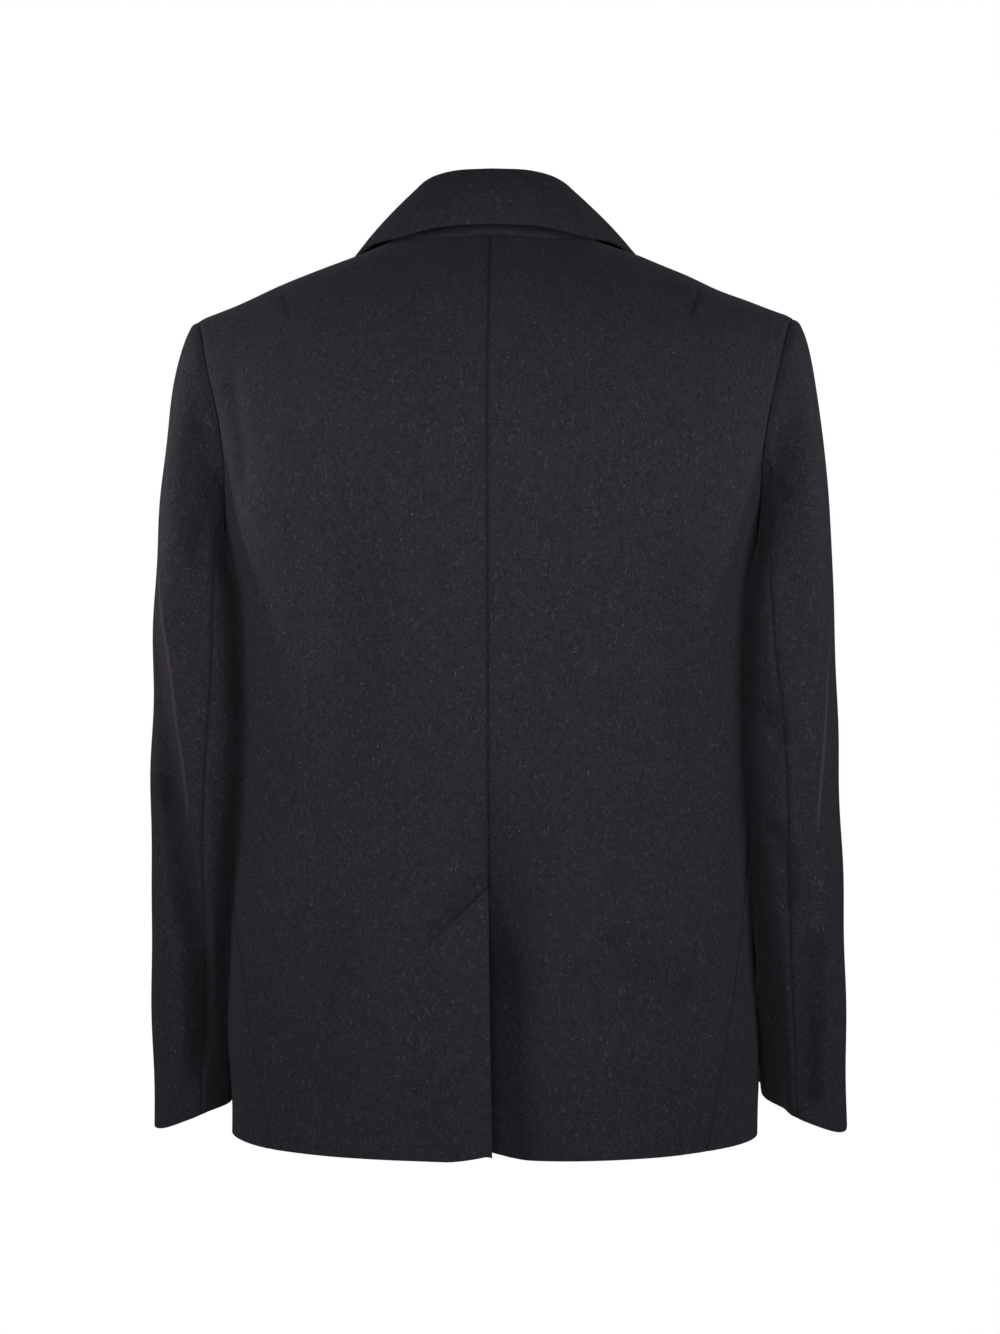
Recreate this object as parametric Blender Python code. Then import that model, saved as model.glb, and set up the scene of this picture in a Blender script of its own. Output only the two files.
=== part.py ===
"""A short double-breasted pea coat, filled out as it is when worn.

Each cut piece is a closed wall of cloth. Every wall is drawn on one general figure, the form, so that
neighbouring pieces share their seam lines. Metres; +Z is up, the front faces -Y and +X is the wearer's left.
The origin lies between the two neck points of the shoulders, where a wearer carries the coat.
"""

import math

import bmesh
import bpy
import numpy as np
from mathutils import Vector

# ---------------------------------------------------------------- driving sizes, in metres and degrees
CLOTH = 0.0025  # thickness of the coating
LAYERS = 0.0034  # lapels and collar: two layers turned and pressed
SEAM_GAP = 0.0003  # between neighbouring pieces
SEAM_ANGLE = 0.065  # half of that gap, as an angle round the body
LAY_GAP = 0.0012  # between a front and what it laps over
LAPEL_GAP = 0.0018  # between a lapel or collar and the front it lies on

BACK_LENGTH = 0.690  # hem below the neck points
SIDE_RISE = 0.006  # the hem is this much higher at the sides
NECK_HALF = 0.078  # neck point of the shoulder seam from the centre
SHOULDER_SLOPE = 0.408
NECK_ROUND = 0.030  # how softly the slope turns level at the centre
SHOULDER_ROLL = 0.200  # height over which the shoulder rounds out to full depth
NECK_BACK_ANGLE = 28.3  # how far down that roll the neckline lies at the centre back
SQUARENESS = 2.6  # exponent of the body's rounded section

FRONT_EDGE = 0.075  # each front passes the centre by this much
BREAK_HEIGHT = -0.298  # where the lapel leaves the front edge
GORGE = (0.043, -0.050)  # x and height where the collar meets the lapel, on the roll line
NOTCH = (0.108, -0.088)
LAPEL_POINT = (0.154, -0.090)
FOLD_RADIUS = 0.0045  # of the middle of the cloth where lapel and collar roll over
GORGE_GAP = 0.00035  # half of the gap between collar and lapel
COLLAR_SEAM_GAP = 0.0009  # between the collar's foot and the neckline
COLLAR_BELLY = 0.003  # how far the fall of the collar rounds out
COLLAR_LIES = (0.70, 1.0)  # its front ends come to lie on the chest over this stretch

VENT_TOP = -0.493
VENT_SLANT = 0.040  # the top of the underlap slants down over this height
UNDERLAP = 0.043
VENT_OVER = 0.004  # the upper flap passes the centre by this much at the hem
VENT_LIFT = 0.003

SLEEVE_SWING = {"left": 0.000, "right": 0.0085}  # how much further out a sleeve hangs at its cuff

BUTTON_COLUMNS = {"left": 0.058, "right": -0.054}
BUTTON_HEIGHTS = (-0.335, -0.432, -0.529)
BUTTON_SIDES = 20

WOOL = (0.030, 0.027, 0.033)
HORN = (0.018, 0.016, 0.018)

# ---------------------------------------------------------------- tables
BODY_COLUMNS = ("height", "half_width", "back_depth", "front_depth", "centre_y")
BODY = (
    (-0.700, 0.2010, 0.130, 0.130, 0.000),  # hem
    (-0.620, 0.1990, 0.127, 0.129, 0.000),
    (-0.550, 0.1955, 0.122, 0.127, 0.000),  # hip
    (-0.450, 0.1915, 0.117, 0.124, 0.000),  # waist
    (-0.350, 0.1905, 0.120, 0.126, 0.000),
    (-0.250, 0.1930, 0.126, 0.130, 0.001),  # armpit
    (-0.190, 0.2055, 0.130, 0.127, 0.003),  # shoulder blade
    (-0.140, 0.2215, 0.131, 0.120, 0.004),
    (-0.090, 0.2420, 0.131, 0.114, 0.005),
    (-0.040, 0.2590, 0.129, 0.108, 0.007),
    (0.030, 0.2670, 0.124, 0.100, 0.010),  # neck
)
# The side seam, as an angle round the body from the side towards the back. Levels: see form().
SIDE_SEAM_COLUMNS = ("level", "angle")
SIDE_SEAM = (
    (0.000, 40.5),  # hem
    (0.055, 38.0),
    (0.157, 32.7),
    (0.259, 26.5),
    (0.406, 16.8),
    (0.536, 12.0),
    (0.763, 8.5),
    (1.000, 7.0),  # armpit
)
# The armhole, from the armpit (level 1) to the shoulder tip (level 2): the angles of its two edges.
ARMHOLE_COLUMNS = ("level", "back_angle", "front_angle")
ARMHOLE = (
    (1.000, 7.0, 7.0),
    (1.015, 8.2, -2.0),
    (1.040, 9.6, -10.0),
    (1.090, 10.8, -17.5),
    (1.160, 12.6, -23.5),
    (1.250, 17.0, -28.5),
    (1.380, 21.2, -32.0),
    (1.490, 24.6, -33.0),
    (1.700, 28.2, -32.0),
    (2.000, 28.9, -28.9),
)
# The sleeve below the cap: its outer and inner side from the coat's centre, back and front.
SLEEVE_COLUMNS = ("height", "outer", "inner", "back", "front")
SLEEVE = (
    (-0.680, 0.2630, 0.2055, 0.042, -0.076),  # cuff
    (-0.590, 0.2645, 0.2000, 0.049, -0.077),
    (-0.510, 0.2648, 0.1965, 0.058, -0.077),
    (-0.430, 0.2640, 0.1950, 0.068, -0.078),  # elbow
    (-0.350, 0.2625, 0.1945, 0.075, -0.083),
    (-0.285, 0.2610, 0.1955, 0.076, -0.088),  # upper arm
)
SLEEVE_HUG = 0.045  # how strongly the side towards the body curves round it
HUG_START, HUG_REACH = 0.030, 0.050  # from this far in front and behind, over this depth
SLEEVE_TILT = 0.020  # the upper arm's ring is this much lower outside
CUFF_DROP = -0.684  # the cuff's lowest point, outside at the back
CUFF_RISE_IN, CUFF_RISE_FRONT = 0.38, 0.10  # its slopes towards the body and the front
SLEEVE_SQUARENESS = 2.8
# The sleeve seams, as angles round the sleeve from its outer side. The right sleeve hangs a little turned.
HIND_SEAM = {"left": 108.0, "right": 100.0}
FORE_SEAM = {"left": 262.0, "right": 262.0}
SEAM_TURN = 0.26  # half of their gap
# How far the cap runs straight out of the armhole, and straight down into the upper arm.
CAP_COLUMNS = ("place", "out", "down")
CAP = (
    ("top", 0.0220, 0.110),
    ("side", 0.0220, 0.050),
    ("armpit", 0.0045, 0.012),
)
# The collar's fold and outer edge, from the centre back (0) over the neck point (0.5) to its front end (1).
COLLAR_COLUMNS = ("along", "fold_x", "fold_y", "fold_z", "edge_x", "edge_y", "edge_z")
COLLAR = (
    (0.00, 0.0000, 0.0560, 0.0470, 0.0000, 0.0815, 0.0020),  # centre back
    (0.17, 0.0270, 0.0520, 0.0462, 0.0380, 0.0770, 0.0010),
    (0.34, 0.0460, 0.0350, 0.0430, 0.0730, 0.0560, -0.0030),
    (0.50, 0.0550, 0.0080, 0.0375, 0.0955, 0.0220, -0.0046),  # over the neck point
    (0.67, 0.0575, -0.0230, 0.0240, 0.1140, -0.0200, -0.0166),
    (0.83, 0.0535, -0.0540, -0.0080, 0.1270, -0.0440, -0.0391),
    (1.00, 0.0430, -0.0800, -0.0480, 0.1330, -0.0625, -0.0640),  # front end
)
LAPEL_COLUMNS = ("along", "edge_x", "edge_z")
LAPEL = (
    (0.00, -0.0710, -0.3020),  # break
    (0.20, -0.0180, -0.2640),
    (0.45, 0.0500, -0.2080),
    (0.75, 0.1150, -0.1440),
    (1.00, *LAPEL_POINT),
)
BUTTON_PROFILE = (  # radius, height over the cloth: a sewn shank and a disc with a raised rim
    (0.0040, 0.0005),
    (0.0040, 0.0024),
    (0.0125, 0.0024),
    (0.0140, 0.0034),
    (0.0140, 0.0052),
    (0.0125, 0.0062),
    (0.0100, 0.0052),
)


# ---------------------------------------------------------------- reading the tables
def smooth(table, columns, column, at):
    """A column of a table as a smooth curve through its rows, read at the values of the first column."""
    knots = np.array([row[0] for row in table])
    values = np.array([row[columns.index(column)] for row in table])
    slopes = np.gradient(values, knots)
    at = np.clip(np.asarray(at, float), knots[0], knots[-1])
    i = np.clip(np.searchsorted(knots, at) - 1, 0, len(knots) - 2)
    step = knots[i + 1] - knots[i]
    t = (at - knots[i]) / step
    start = values[i] * (2 * t**3 - 3 * t**2 + 1) + slopes[i] * step * (t**3 - 2 * t**2 + t)
    end = values[i + 1] * (3 * t**2 - 2 * t**3) + slopes[i + 1] * step * (t**3 - t**2)
    return start + end


def body(column, height):
    return smooth(BODY, BODY_COLUMNS, column, height)


def step_up(value, start, end):
    """0 before start, 1 after end, and smooth between them."""
    t = np.clip((np.asarray(value, float) - start) / (end - start), 0, 1)
    return t * t * (3 - 2 * t)


def unit(vectors):
    return vectors / np.linalg.norm(vectors, axis=-1, keepdims=True)


def mix(a, b, t):
    return a + (b - a) * t


# ---------------------------------------------------------------- the form
def ridge(x):
    """Height of the shoulder's top, level at the neck and falling to the tip."""
    return -SHOULDER_SLOPE * (np.hypot(x, NECK_ROUND) - math.hypot(NECK_HALF, NECK_ROUND))


def hem(angle):
    return -BACK_LENGTH + SIDE_RISE * np.cos(np.radians(angle)) ** 2


def neck_angle(x, angle):
    """How far down the shoulder's roll the back neckline lies."""
    inside = np.clip(1 - (x / NECK_HALF) ** 2, 0, 1) * (angle > 0)
    return np.degrees(np.arcsin(math.sin(math.radians(NECK_BACK_ANGLE)) * np.sqrt(inside)))


def form(angle, level):
    """Points of the figure. angle: 0 at the left side, 90 at the back, -90 at the front.
    level: 0 at the hem, 1 at the armpits, 2 along the shoulder seam and the neckline."""
    angle, level = np.broadcast_arrays(np.asarray(angle, float), np.asarray(level, float))
    cosine, sine = np.cos(np.radians(angle)), np.sin(np.radians(angle))
    across = np.sign(cosine) * np.abs(cosine) ** (2 / SQUARENESS)
    deep = np.sign(sine) * np.abs(sine) ** (2 / SQUARENESS)
    x = 0.2 * across
    for _ in range(8):
        low = hem(angle)
        top = neck_angle(x, angle)
        roll = np.radians(mix(90.0, top, np.clip(level - 1, 0, 1)))
        upper = ridge(x) - SHOULDER_ROLL * (1 - np.cos(roll))
        z = np.where(level < 1, mix(low, ridge(x) - SHOULDER_ROLL, np.minimum(level, 1)), upper)
        x = body("half_width", z) * across
    depth = np.where(sine > 0, body("back_depth", z), body("front_depth", z))
    y = body("centre_y", z) + depth * deep * np.sin(roll)
    return np.stack([x, y, z], axis=-1)


def outward(angle, level, small=0.4):
    """The form's outward normals."""
    angle, level = np.broadcast_arrays(np.asarray(angle, float), np.asarray(level, float))
    rise = small / 100
    around = form(angle + small, level) - form(angle - small, level)
    up = form(angle, np.minimum(level + rise, 2)) - form(angle, np.maximum(level - rise, 0))
    return unit(np.cross(around, up))


def address(x, z):
    """The angle and level of the front point at x and height z."""
    share = np.clip(np.abs(x) / body("half_width", z), 0, 1) ** (SQUARENESS / 2)
    turn = np.degrees(np.arccos(share))
    angle = np.where(np.asarray(x) >= 0, -turn, turn - 180)
    drop = np.clip((ridge(x) - z) / SHOULDER_ROLL, 0, 1)
    low = hem(angle)
    lower = (z - low) / (ridge(x) - SHOULDER_ROLL - low)
    return angle, np.where(drop >= 1, lower, 2 - np.degrees(np.arccos(1 - drop)) / 90)


def front_surface(x, z, out=0.0):
    """Front points at x and height z, moved outwards."""
    angle, level = address(x, z)
    return form(angle, level) + outward(angle, level) * np.asarray(out)[..., None]


# ---------------------------------------------------------------- building walls
def finish(name, mesh, material):
    mesh.polygons.foreach_set("use_smooth", [True] * len(mesh.polygons))
    mesh.set_sharp_from_angle(angle=math.radians(35))
    mesh.materials.append(material)
    piece = bpy.data.objects.new(name, mesh)
    bpy.context.scene.collection.objects.link(piece)
    return piece


def wall(name, outer, inner, material):
    """A closed wall between two grids of points, its outer and its inner face."""
    rows, columns = outer.shape[:2]
    made = bmesh.new()
    sheets = [
        [[made.verts.new(point) for point in row] for row in grid.tolist()] for grid in (outer, inner)
    ]
    front, behind = sheets
    for r in range(rows - 1):
        for c in range(columns - 1):
            made.faces.new((front[r][c], front[r][c + 1], front[r + 1][c + 1], front[r + 1][c]))
            made.faces.new((behind[r][c], behind[r + 1][c], behind[r + 1][c + 1], behind[r][c + 1]))
    rim = [(0, c) for c in range(columns)]
    rim += [(r, columns - 1) for r in range(1, rows)]
    rim += [(rows - 1, c) for c in range(columns - 2, -1, -1)]
    rim += [(r, 0) for r in range(rows - 2, 0, -1)]
    for (r, c), (r2, c2) in zip(rim, rim[1:] + rim[:1]):
        made.faces.new((front[r][c], behind[r][c], behind[r2][c2], front[r2][c2]))
    if made.calc_volume(signed=True) < 0:
        bmesh.ops.reverse_faces(made, faces=made.faces)
    mesh = bpy.data.meshes.new(name)
    made.to_mesh(mesh)
    made.free()
    return finish(name, mesh, material)


def mirrored(points):
    return points * (-1, 1, 1)


def grid_normals(points):
    """Normals of a grid of points, from its own rows and columns."""
    return unit(np.cross(np.gradient(points, axis=1), np.gradient(points, axis=0)))


def make_material(name, colour, roughness):
    material = bpy.data.materials.new(name)
    material.use_nodes = True
    shader = material.node_tree.nodes["Principled BSDF"]
    shader.inputs["Base Color"].default_value = (*colour, 1)
    shader.inputs["Roughness"].default_value = roughness
    material.diffuse_color = (*colour, 1)
    return material


# ---------------------------------------------------------------- body
def level_at(x, z):
    """Level of a point of height z on the front or back, below the armpits."""
    return (z + BACK_LENGTH) / (ridge(x) - SHOULDER_ROLL + BACK_LENGTH)


VENT_LEVELS = (level_at(0, VENT_TOP - VENT_SLANT), level_at(0, VENT_TOP))
BREAK_LEVEL = float(address(-FRONT_EDGE, BREAK_HEIGHT)[1])
GORGE_LEVEL = float(address(*GORGE)[1])
SHOULDER = 1.999  # level of the shoulder seam and the neckline
ARM_LEVELS = (1, 1.015, 1.04, 1.09, 1.16, 1.24, 1.32, 1.40, GORGE_LEVEL, 1.56, 1.65, 1.74, 1.83, 1.92)
# Every panel has these rows, so that seams meet point by point.
LEVELS = np.concatenate(
    [
        np.linspace(0, VENT_LEVELS[0], 4, endpoint=False),
        np.linspace(*VENT_LEVELS, 2, endpoint=False),
        np.linspace(VENT_LEVELS[1], BREAK_LEVEL, 6, endpoint=False),
        np.linspace(BREAK_LEVEL, 1, 3, endpoint=False),
        ARM_LEVELS,
        [SHOULDER],
    ]
)[:, None]


def side_edge(level, column):
    """Angle of a panel's outer edge: the side seam below the armpit, the armhole above it."""
    seam = smooth(SIDE_SEAM, SIDE_SEAM_COLUMNS, "angle", level)
    return np.where(level < 1, seam, smooth(ARMHOLE, ARMHOLE_COLUMNS, column, level))


def panel(angles, lift):
    """A piece of the body. lift gives its distance off the form at each x and height."""
    points, normals = form(angles, LEVELS), outward(angles, LEVELS)
    rise = lift(points[..., 0], points[..., 2])[..., None]
    return points + normals * rise, points + normals * (rise - CLOTH)


def neck_share():
    """Where the neck point falls on the way from the centre back to the shoulder tip."""
    tip = side_edge(SHOULDER, "back_angle")
    turn = -float(address(NECK_HALF, 0.0)[0])
    return (90 - turn) / (90 - tip)


# Columns of the back, as shares of the way: from its centre to the neck point, then on to its outer edge.
NECK_SHARES = neck_share() * np.array((0, 0.06, 0.22, 0.51, 0.755, 0.92, 1))
OUTER_SHARES = mix(neck_share(), 1, np.array((0.14, 0.3, 0.47, 0.64, 0.82, 1)))
BACK_SHARES = np.concatenate([NECK_SHARES, OUTER_SHARES])


def back_lift(side):
    """The vent: the left flap stands a little proud, and the right one dips under it."""

    def left(x, z):
        return VENT_LIFT * step_up(-x, -0.06, 0.0) * step_up(-z, -VENT_TOP, BACK_LENGTH)

    def right(x, z):
        return -(CLOTH + LAY_GAP) * step_up(-x, -0.040, -0.006) * step_up(-z, -VENT_TOP - 0.012, -VENT_TOP)

    return left if side == "left" else right


def back(side):
    """A half of the back, from its centre seam and vent round to the side seam and the armhole."""
    middle = -BACK_LENGTH + LEVELS * (ridge(0) - SHOULDER_ROLL + BACK_LENGTH)
    below = np.clip(VENT_TOP - middle, 0, None)
    if side == "left":
        edge = SEAM_GAP / 2 - VENT_OVER * below / (BACK_LENGTH + VENT_TOP)
    else:
        edge = SEAM_GAP / 2 - UNDERLAP * np.clip(below / VENT_SLANT, 0, 1)
    centre = -address(edge, np.minimum(middle, ridge(0)))[0]
    angles = mix(centre, side_edge(LEVELS, "back_angle") + SEAM_ANGLE, BACK_SHARES)
    return panel(angles, back_lift(side))


def front_edge(level):
    """Angle of a front's free edge: up the overlap, along the roll line, then round the neck."""
    t = np.linspace(0, 1, 80)
    x = [np.full(80, -FRONT_EDGE), mix(-FRONT_EDGE, GORGE[0], t), mix(GORGE[0], NECK_HALF, t)]
    z = [mix(-BACK_LENGTH, BREAK_HEIGHT, t), mix(BREAK_HEIGHT, GORGE[1], t), mix(GORGE[1], 0.0, t)]
    angles, levels = address(np.concatenate(x), np.concatenate(z))
    return np.interp(level, levels, angles)


def overlap_lift(x, z):
    """How far the left front rides over the right one, and over the right lapel."""
    across = 1 - step_up(x, 0.083, 0.150)
    over_front = (CLOTH + LAY_GAP) * (1 - step_up(z, -0.13, -0.05))
    over_lapel = (LAPEL_GAP + LAYERS) * step_up(z, -0.40, -0.316) * (1 - step_up(z, -0.13, -0.05))
    return across * (over_front + over_lapel)


def no_lift(x, z):
    return 0.0 * x


FRONT_LIFT = {"left": overlap_lift, "right": no_lift}


def front(side):
    """A front, from the side seam and the armhole round to its free edge."""
    start = side_edge(LEVELS, "front_angle") - SEAM_ANGLE
    angles = mix(start, front_edge(LEVELS), np.linspace(0, 1, 18))
    return panel(angles, FRONT_LIFT[side])


# ---------------------------------------------------------------- lapels and collar
ROLL_TURNS = np.array((190.0, 165.0, 140.0, 115.0, 90.0))
LAPEL_SHARES = np.array((0.06, 0.20, 0.40, 0.585, 0.80, 1.00))
NOTCH_SHARE = 3  # the column that ends at the notch


def rolled(start, path, turns, side, face):
    """Points of a section that rolls round a front's edge at start and lies on the front along path.
    turns are its angles round the fold; face is +1 for the outer and -1 for the inner face."""
    radius = FOLD_RADIUS + face * LAYERS / 2
    out = unit(path[0] - start)
    lift = FRONT_LIFT[side]
    turns = np.radians(turns)
    away = -0.0005 + radius * np.cos(turns)
    x, z = start[0] + away * out[0], start[1] + away * out[1]
    edge = lift(start[0], start[1]) - FOLD_RADIUS + LAPEL_GAP + LAYERS / 2
    fold = front_surface(x, z, edge + radius * np.sin(turns))
    leaf_out = lift(path[:, 0], path[:, 1]) + LAPEL_GAP + LAYERS / 2 + face * LAYERS / 2
    return np.concatenate([fold, front_surface(path[:, 0], path[:, 1], leaf_out)])


def lapel(side):
    """A lapel, turned back from the roll line over its front."""
    faces = []
    for face in (1, -1):
        rows = []
        for s in np.linspace(0, 1, 12):
            start = mix(np.array((-FRONT_EDGE, BREAK_HEIGHT)), np.array(GORGE), s)
            end = np.array([smooth(LAPEL, LAPEL_COLUMNS, c, s) for c in ("edge_x", "edge_z")])
            path = mix(start, end, LAPEL_SHARES[:, None])
            path = path + s**8 * notch_bend(start, end, LAPEL_SHARES)
            gap = s**8 * GORGE_GAP * gorge_side()
            rows.append(rolled(start - gap, path - gap, ROLL_TURNS, side, face))
        faces.append(np.array(rows))
    return faces


def gorge_side():
    """Unit vector across the gorge seam, towards the collar, in x and height."""
    run = unit(np.array(NOTCH) - np.array(GORGE))
    return np.array((-run[1], run[0]))


def notch_bend(start, end, shares):
    """Bends the straight line from start to end so that it passes through the notch."""
    share = shares[NOTCH_SHARE]
    bend = np.array(NOTCH) - mix(start, end, share)
    hat = np.minimum(shares / share, (1 - shares) / (1 - share))
    return hat[:, None] * bend


LEAF_SHARES = np.array((0.08, 0.22, 0.42, 0.68, 0.85, 1.00))


def neckline():
    """The seam from the centre back round the neck point to the gorge: points, normals and how far along."""
    tip = side_edge(SHOULDER, "back_angle")
    front_levels = LEVELS[LEVELS >= GORGE_LEVEL - 1e-9][::-1]
    angles = np.concatenate([mix(90.0, tip, NECK_SHARES), front_edge(front_levels[1:])])
    levels = np.concatenate([np.full(len(NECK_SHARES), SHOULDER), front_levels[1:]])
    points, normals = form(angles, levels), outward(angles, levels)
    steps = np.linalg.norm(np.diff(points, axis=0), axis=1)
    run = np.concatenate([[0], np.cumsum(steps)])
    half = run[len(NECK_SHARES) - 1]
    along = np.where(run <= half, 0.5 * run / half, 0.5 + 0.5 * (run - half) / (run[-1] - half))
    tangent = unit(np.gradient(points, axis=0))
    tangent[0] = (1, 0, 0)
    into_neck = unit(np.cross(tangent, normals))
    return points, normals, into_neck, along


def collar():
    """Stand and fall in one piece, from its right front end round the neck to the left one."""
    seam, normals, into_neck, along = neckline()
    fold, edge = (
        np.stack([smooth(COLLAR, COLLAR_COLUMNS, f"{part}_{c}", along) for c in "xyz"], axis=-1)
        for part in ("fold", "edge")
    )
    foot = seam + into_neck * COLLAR_SEAM_GAP - normals * CLOTH / 2
    up = unit(unit(fold - foot) + unit(fold - edge))
    across = edge - foot
    across = unit(across - up * np.sum(across * up, axis=-1, keepdims=True))
    centre = fold - up * FOLD_RADIUS
    turns = np.radians((0, 45, 90, 135, 180))
    arc = [centre + FOLD_RADIUS * (math.sin(t) * up - math.cos(t) * across) for t in turns]
    stand = [mix(foot, arc[0], share) for share in (0, 0.35, 0.72)]
    belly = unit(across + 0.3 * up) * COLLAR_BELLY
    leaf = [mix(arc[-1], edge, share) + belly * 4 * share * (1 - share) for share in LEAF_SHARES]
    middle = np.stack(stand + arc + leaf, axis=1)
    thick = grid_normals(middle)
    thick *= np.sign(np.sum(thick[0, -1] * across[0])) * LAYERS / 2
    faces = []
    for face in (1, -1):
        free = middle + face * thick
        free[:, 0] = foot - face * normals * LAYERS / 2
        free[0, :, 0] = 0
        halves = []
        for side in ("right", "left"):
            lying = free.copy()
            for i in np.flatnonzero(along > COLLAR_LIES[0]):
                share = (along[i] - COLLAR_LIES[0]) / (COLLAR_LIES[1] - COLLAR_LIES[0])
                start, end = seam[i][[0, 2]], edge[i][[0, 2]]
                path = mix(start, end, LEAF_SHARES[:, None])
                path = path + share**6 * notch_bend(start, end, LEAF_SHARES)
                gap = share**6 * GORGE_GAP * gorge_side()
                turned = np.linspace(ROLL_TURNS[0], ROLL_TURNS[-1], 8)
                lying[i] = rolled(start + gap, path + gap, turned, side, face)
            weight = step_up(along, *COLLAR_LIES)[:, None, None]
            halves.append(mix(free, lying, weight))
        faces.append(np.concatenate([mirrored(halves[0][:0:-1]), halves[1]]))
    return faces


# ---------------------------------------------------------------- sleeves
def armhole():
    """The armhole's edge as a loop from the shoulder tip down the back and up the front."""
    levels = np.array(ARM_LEVELS)
    down, up = levels[::-1], levels[1:]
    angles = [[side_edge(2.0, "back_angle")], side_edge(down, "back_angle"), side_edge(up, "front_angle")]
    angles.append([side_edge(2.0, "front_angle")])
    angles = np.concatenate(angles)
    levels = np.concatenate([[2.0], down, up, [2.0]])
    points, normals = form(angles, levels), outward(angles, levels)
    normals[[0, -1]] = unit(normals[0] + normals[-1])
    points[-1] = points[0]
    step = np.linalg.norm(np.diff(points, axis=0), axis=1)
    run = np.concatenate([[0], np.cumsum(step)])
    pit = len(ARM_LEVELS)
    down_turn, up_turn = 180 * run / run[pit], 180 + 180 * (run - run[pit]) / (run[-1] - run[pit])
    turn = np.where(run <= run[pit], down_turn, up_turn)
    loop = np.concatenate([points[-2:-1], points, points[1:2]])
    tangent = unit(loop[2:] - loop[:-2])
    away = unit(np.cross(tangent, normals))
    middle = points.mean(axis=0)
    away *= np.sign(np.sum(away * (middle - points), axis=-1, keepdims=True))
    return turn, points, normals, away


ARMHOLE_TURN, ARMHOLE_POINTS, ARMHOLE_NORMALS, ARMHOLE_AWAY = armhole()


def round_armhole(values, turn):
    return np.stack([np.interp(turn % 360, ARMHOLE_TURN, values[:, i]) for i in range(3)], axis=-1)


def cap_size(column, turn):
    """A value of the cap's table all round the armhole."""
    top, side, pit = (row[CAP_COLUMNS.index(column)] for row in CAP)
    cosine = np.cos(np.radians(turn))
    return (side + (top - pit) / 2 * cosine + ((top + pit) / 2 - side) * cosine**2)[..., None]


def arm(turn, down, swing):
    """Points of the sleeve from the upper arm (down 0) to the cuff (1)."""
    height = mix(SLEEVE[-1][0], SLEEVE[0][0], down)
    outer, inner, hind, fore = (smooth(SLEEVE, SLEEVE_COLUMNS, c, height) for c in SLEEVE_COLUMNS[1:])
    cosine, sine = np.cos(np.radians(turn)), np.sin(np.radians(turn))
    across = np.sign(cosine) * np.abs(cosine) ** (2 / SLEEVE_SQUARENESS)
    deep = np.sign(sine) * np.abs(sine) ** (2 / SLEEVE_SQUARENESS)
    x = (outer + inner) / 2 + (outer - inner) / 2 * across
    y = (hind + fore) / 2 + (hind - fore) / 2 * deep
    cuff = CUFF_DROP + CUFF_RISE_IN * (outer - x) + CUFF_RISE_FRONT * (hind - y)
    z = mix(height - SLEEVE_TILT * cosine, cuff, down**1.5)
    z = mix(z, height + cuff - SLEEVE[0][0], down)
    beyond = np.maximum(np.abs(y) - HUG_START, 0) / HUG_REACH
    inward = np.maximum(-across - 0.3, 0) / 0.7
    hug = SLEEVE_HUG * np.minimum(0.4 + 3 * down, 1) * beyond**2 * inward
    return np.stack([x - hug + swing * down**1.5, y, z], axis=-1)


def sleeve_form(turn, along, swing):
    """The sleeve's figure: along is 0 at the armhole, 1 at the upper arm and 2 at the cuff."""
    turn, along = np.broadcast_arrays(turn, along)
    away = round_armhole(ARMHOLE_AWAY, turn)
    start = round_armhole(ARMHOLE_POINTS, turn) + away * SEAM_GAP
    lean = -0.37 * (1 + np.cos(np.radians(turn))) / 2
    sideways = unit(np.stack([np.ones_like(lean), 0 * lean, lean], axis=-1))
    direction = unit(0.55 * away + 0.45 * sideways)
    end = arm(turn, np.zeros_like(turn), swing)
    falling = unit(arm(turn, np.full_like(turn, 0.03), swing) - end)
    first = start + direction * cap_size("out", turn)
    second = end - falling * cap_size("down", turn)
    s = np.clip(along, 0, 1)[..., None]
    cap = (1 - s) ** 3 * start + 3 * s * (1 - s) ** 2 * first + 3 * s**2 * (1 - s) * second + s**3 * end
    return np.where(along[..., None] < 1, cap, arm(turn, np.clip(along - 1, 0, 1), swing))


SLEEVE_ROWS = np.array(
    (0, 0.03, 0.09, 0.17, 0.27, 0.38, 0.50, 0.63, 0.76, 0.88, 1, 1.13, 1.27, 1.41, 1.55, 1.69, 1.84, 2)
)[:, None]


def sleeve(side, part):
    """One half of a sleeve, drawn for the left side."""
    swing = SLEEVE_SWING[side]
    hind, fore = HIND_SEAM[side], FORE_SEAM[side]
    limits = (fore - 360, hind) if part == "top" else (hind, fore)
    limits = np.array(limits) + (SEAM_TURN, -SEAM_TURN)
    turns = np.concatenate([ARMHOLE_TURN - 360, ARMHOLE_TURN[1:]])
    inside = turns[(turns > limits[0] + 2) & (turns < limits[1] - 2)]
    turn = np.concatenate([limits[:1], inside, limits[1:]])[None, :]
    outer = sleeve_form(turn, SLEEVE_ROWS, swing)
    around = sleeve_form(turn + 1.5, SLEEVE_ROWS, swing) - sleeve_form(turn - 1.5, SLEEVE_ROWS, swing)
    lower, upper = np.minimum(SLEEVE_ROWS + 0.01, 2), np.maximum(SLEEVE_ROWS - 0.01, 0)
    down = sleeve_form(turn, lower, swing) - sleeve_form(turn, upper, swing)
    normals = unit(np.cross(down, around))
    normals[0] = round_armhole(ARMHOLE_NORMALS, turn[0])
    return outer, outer - normals * CLOTH


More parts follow.
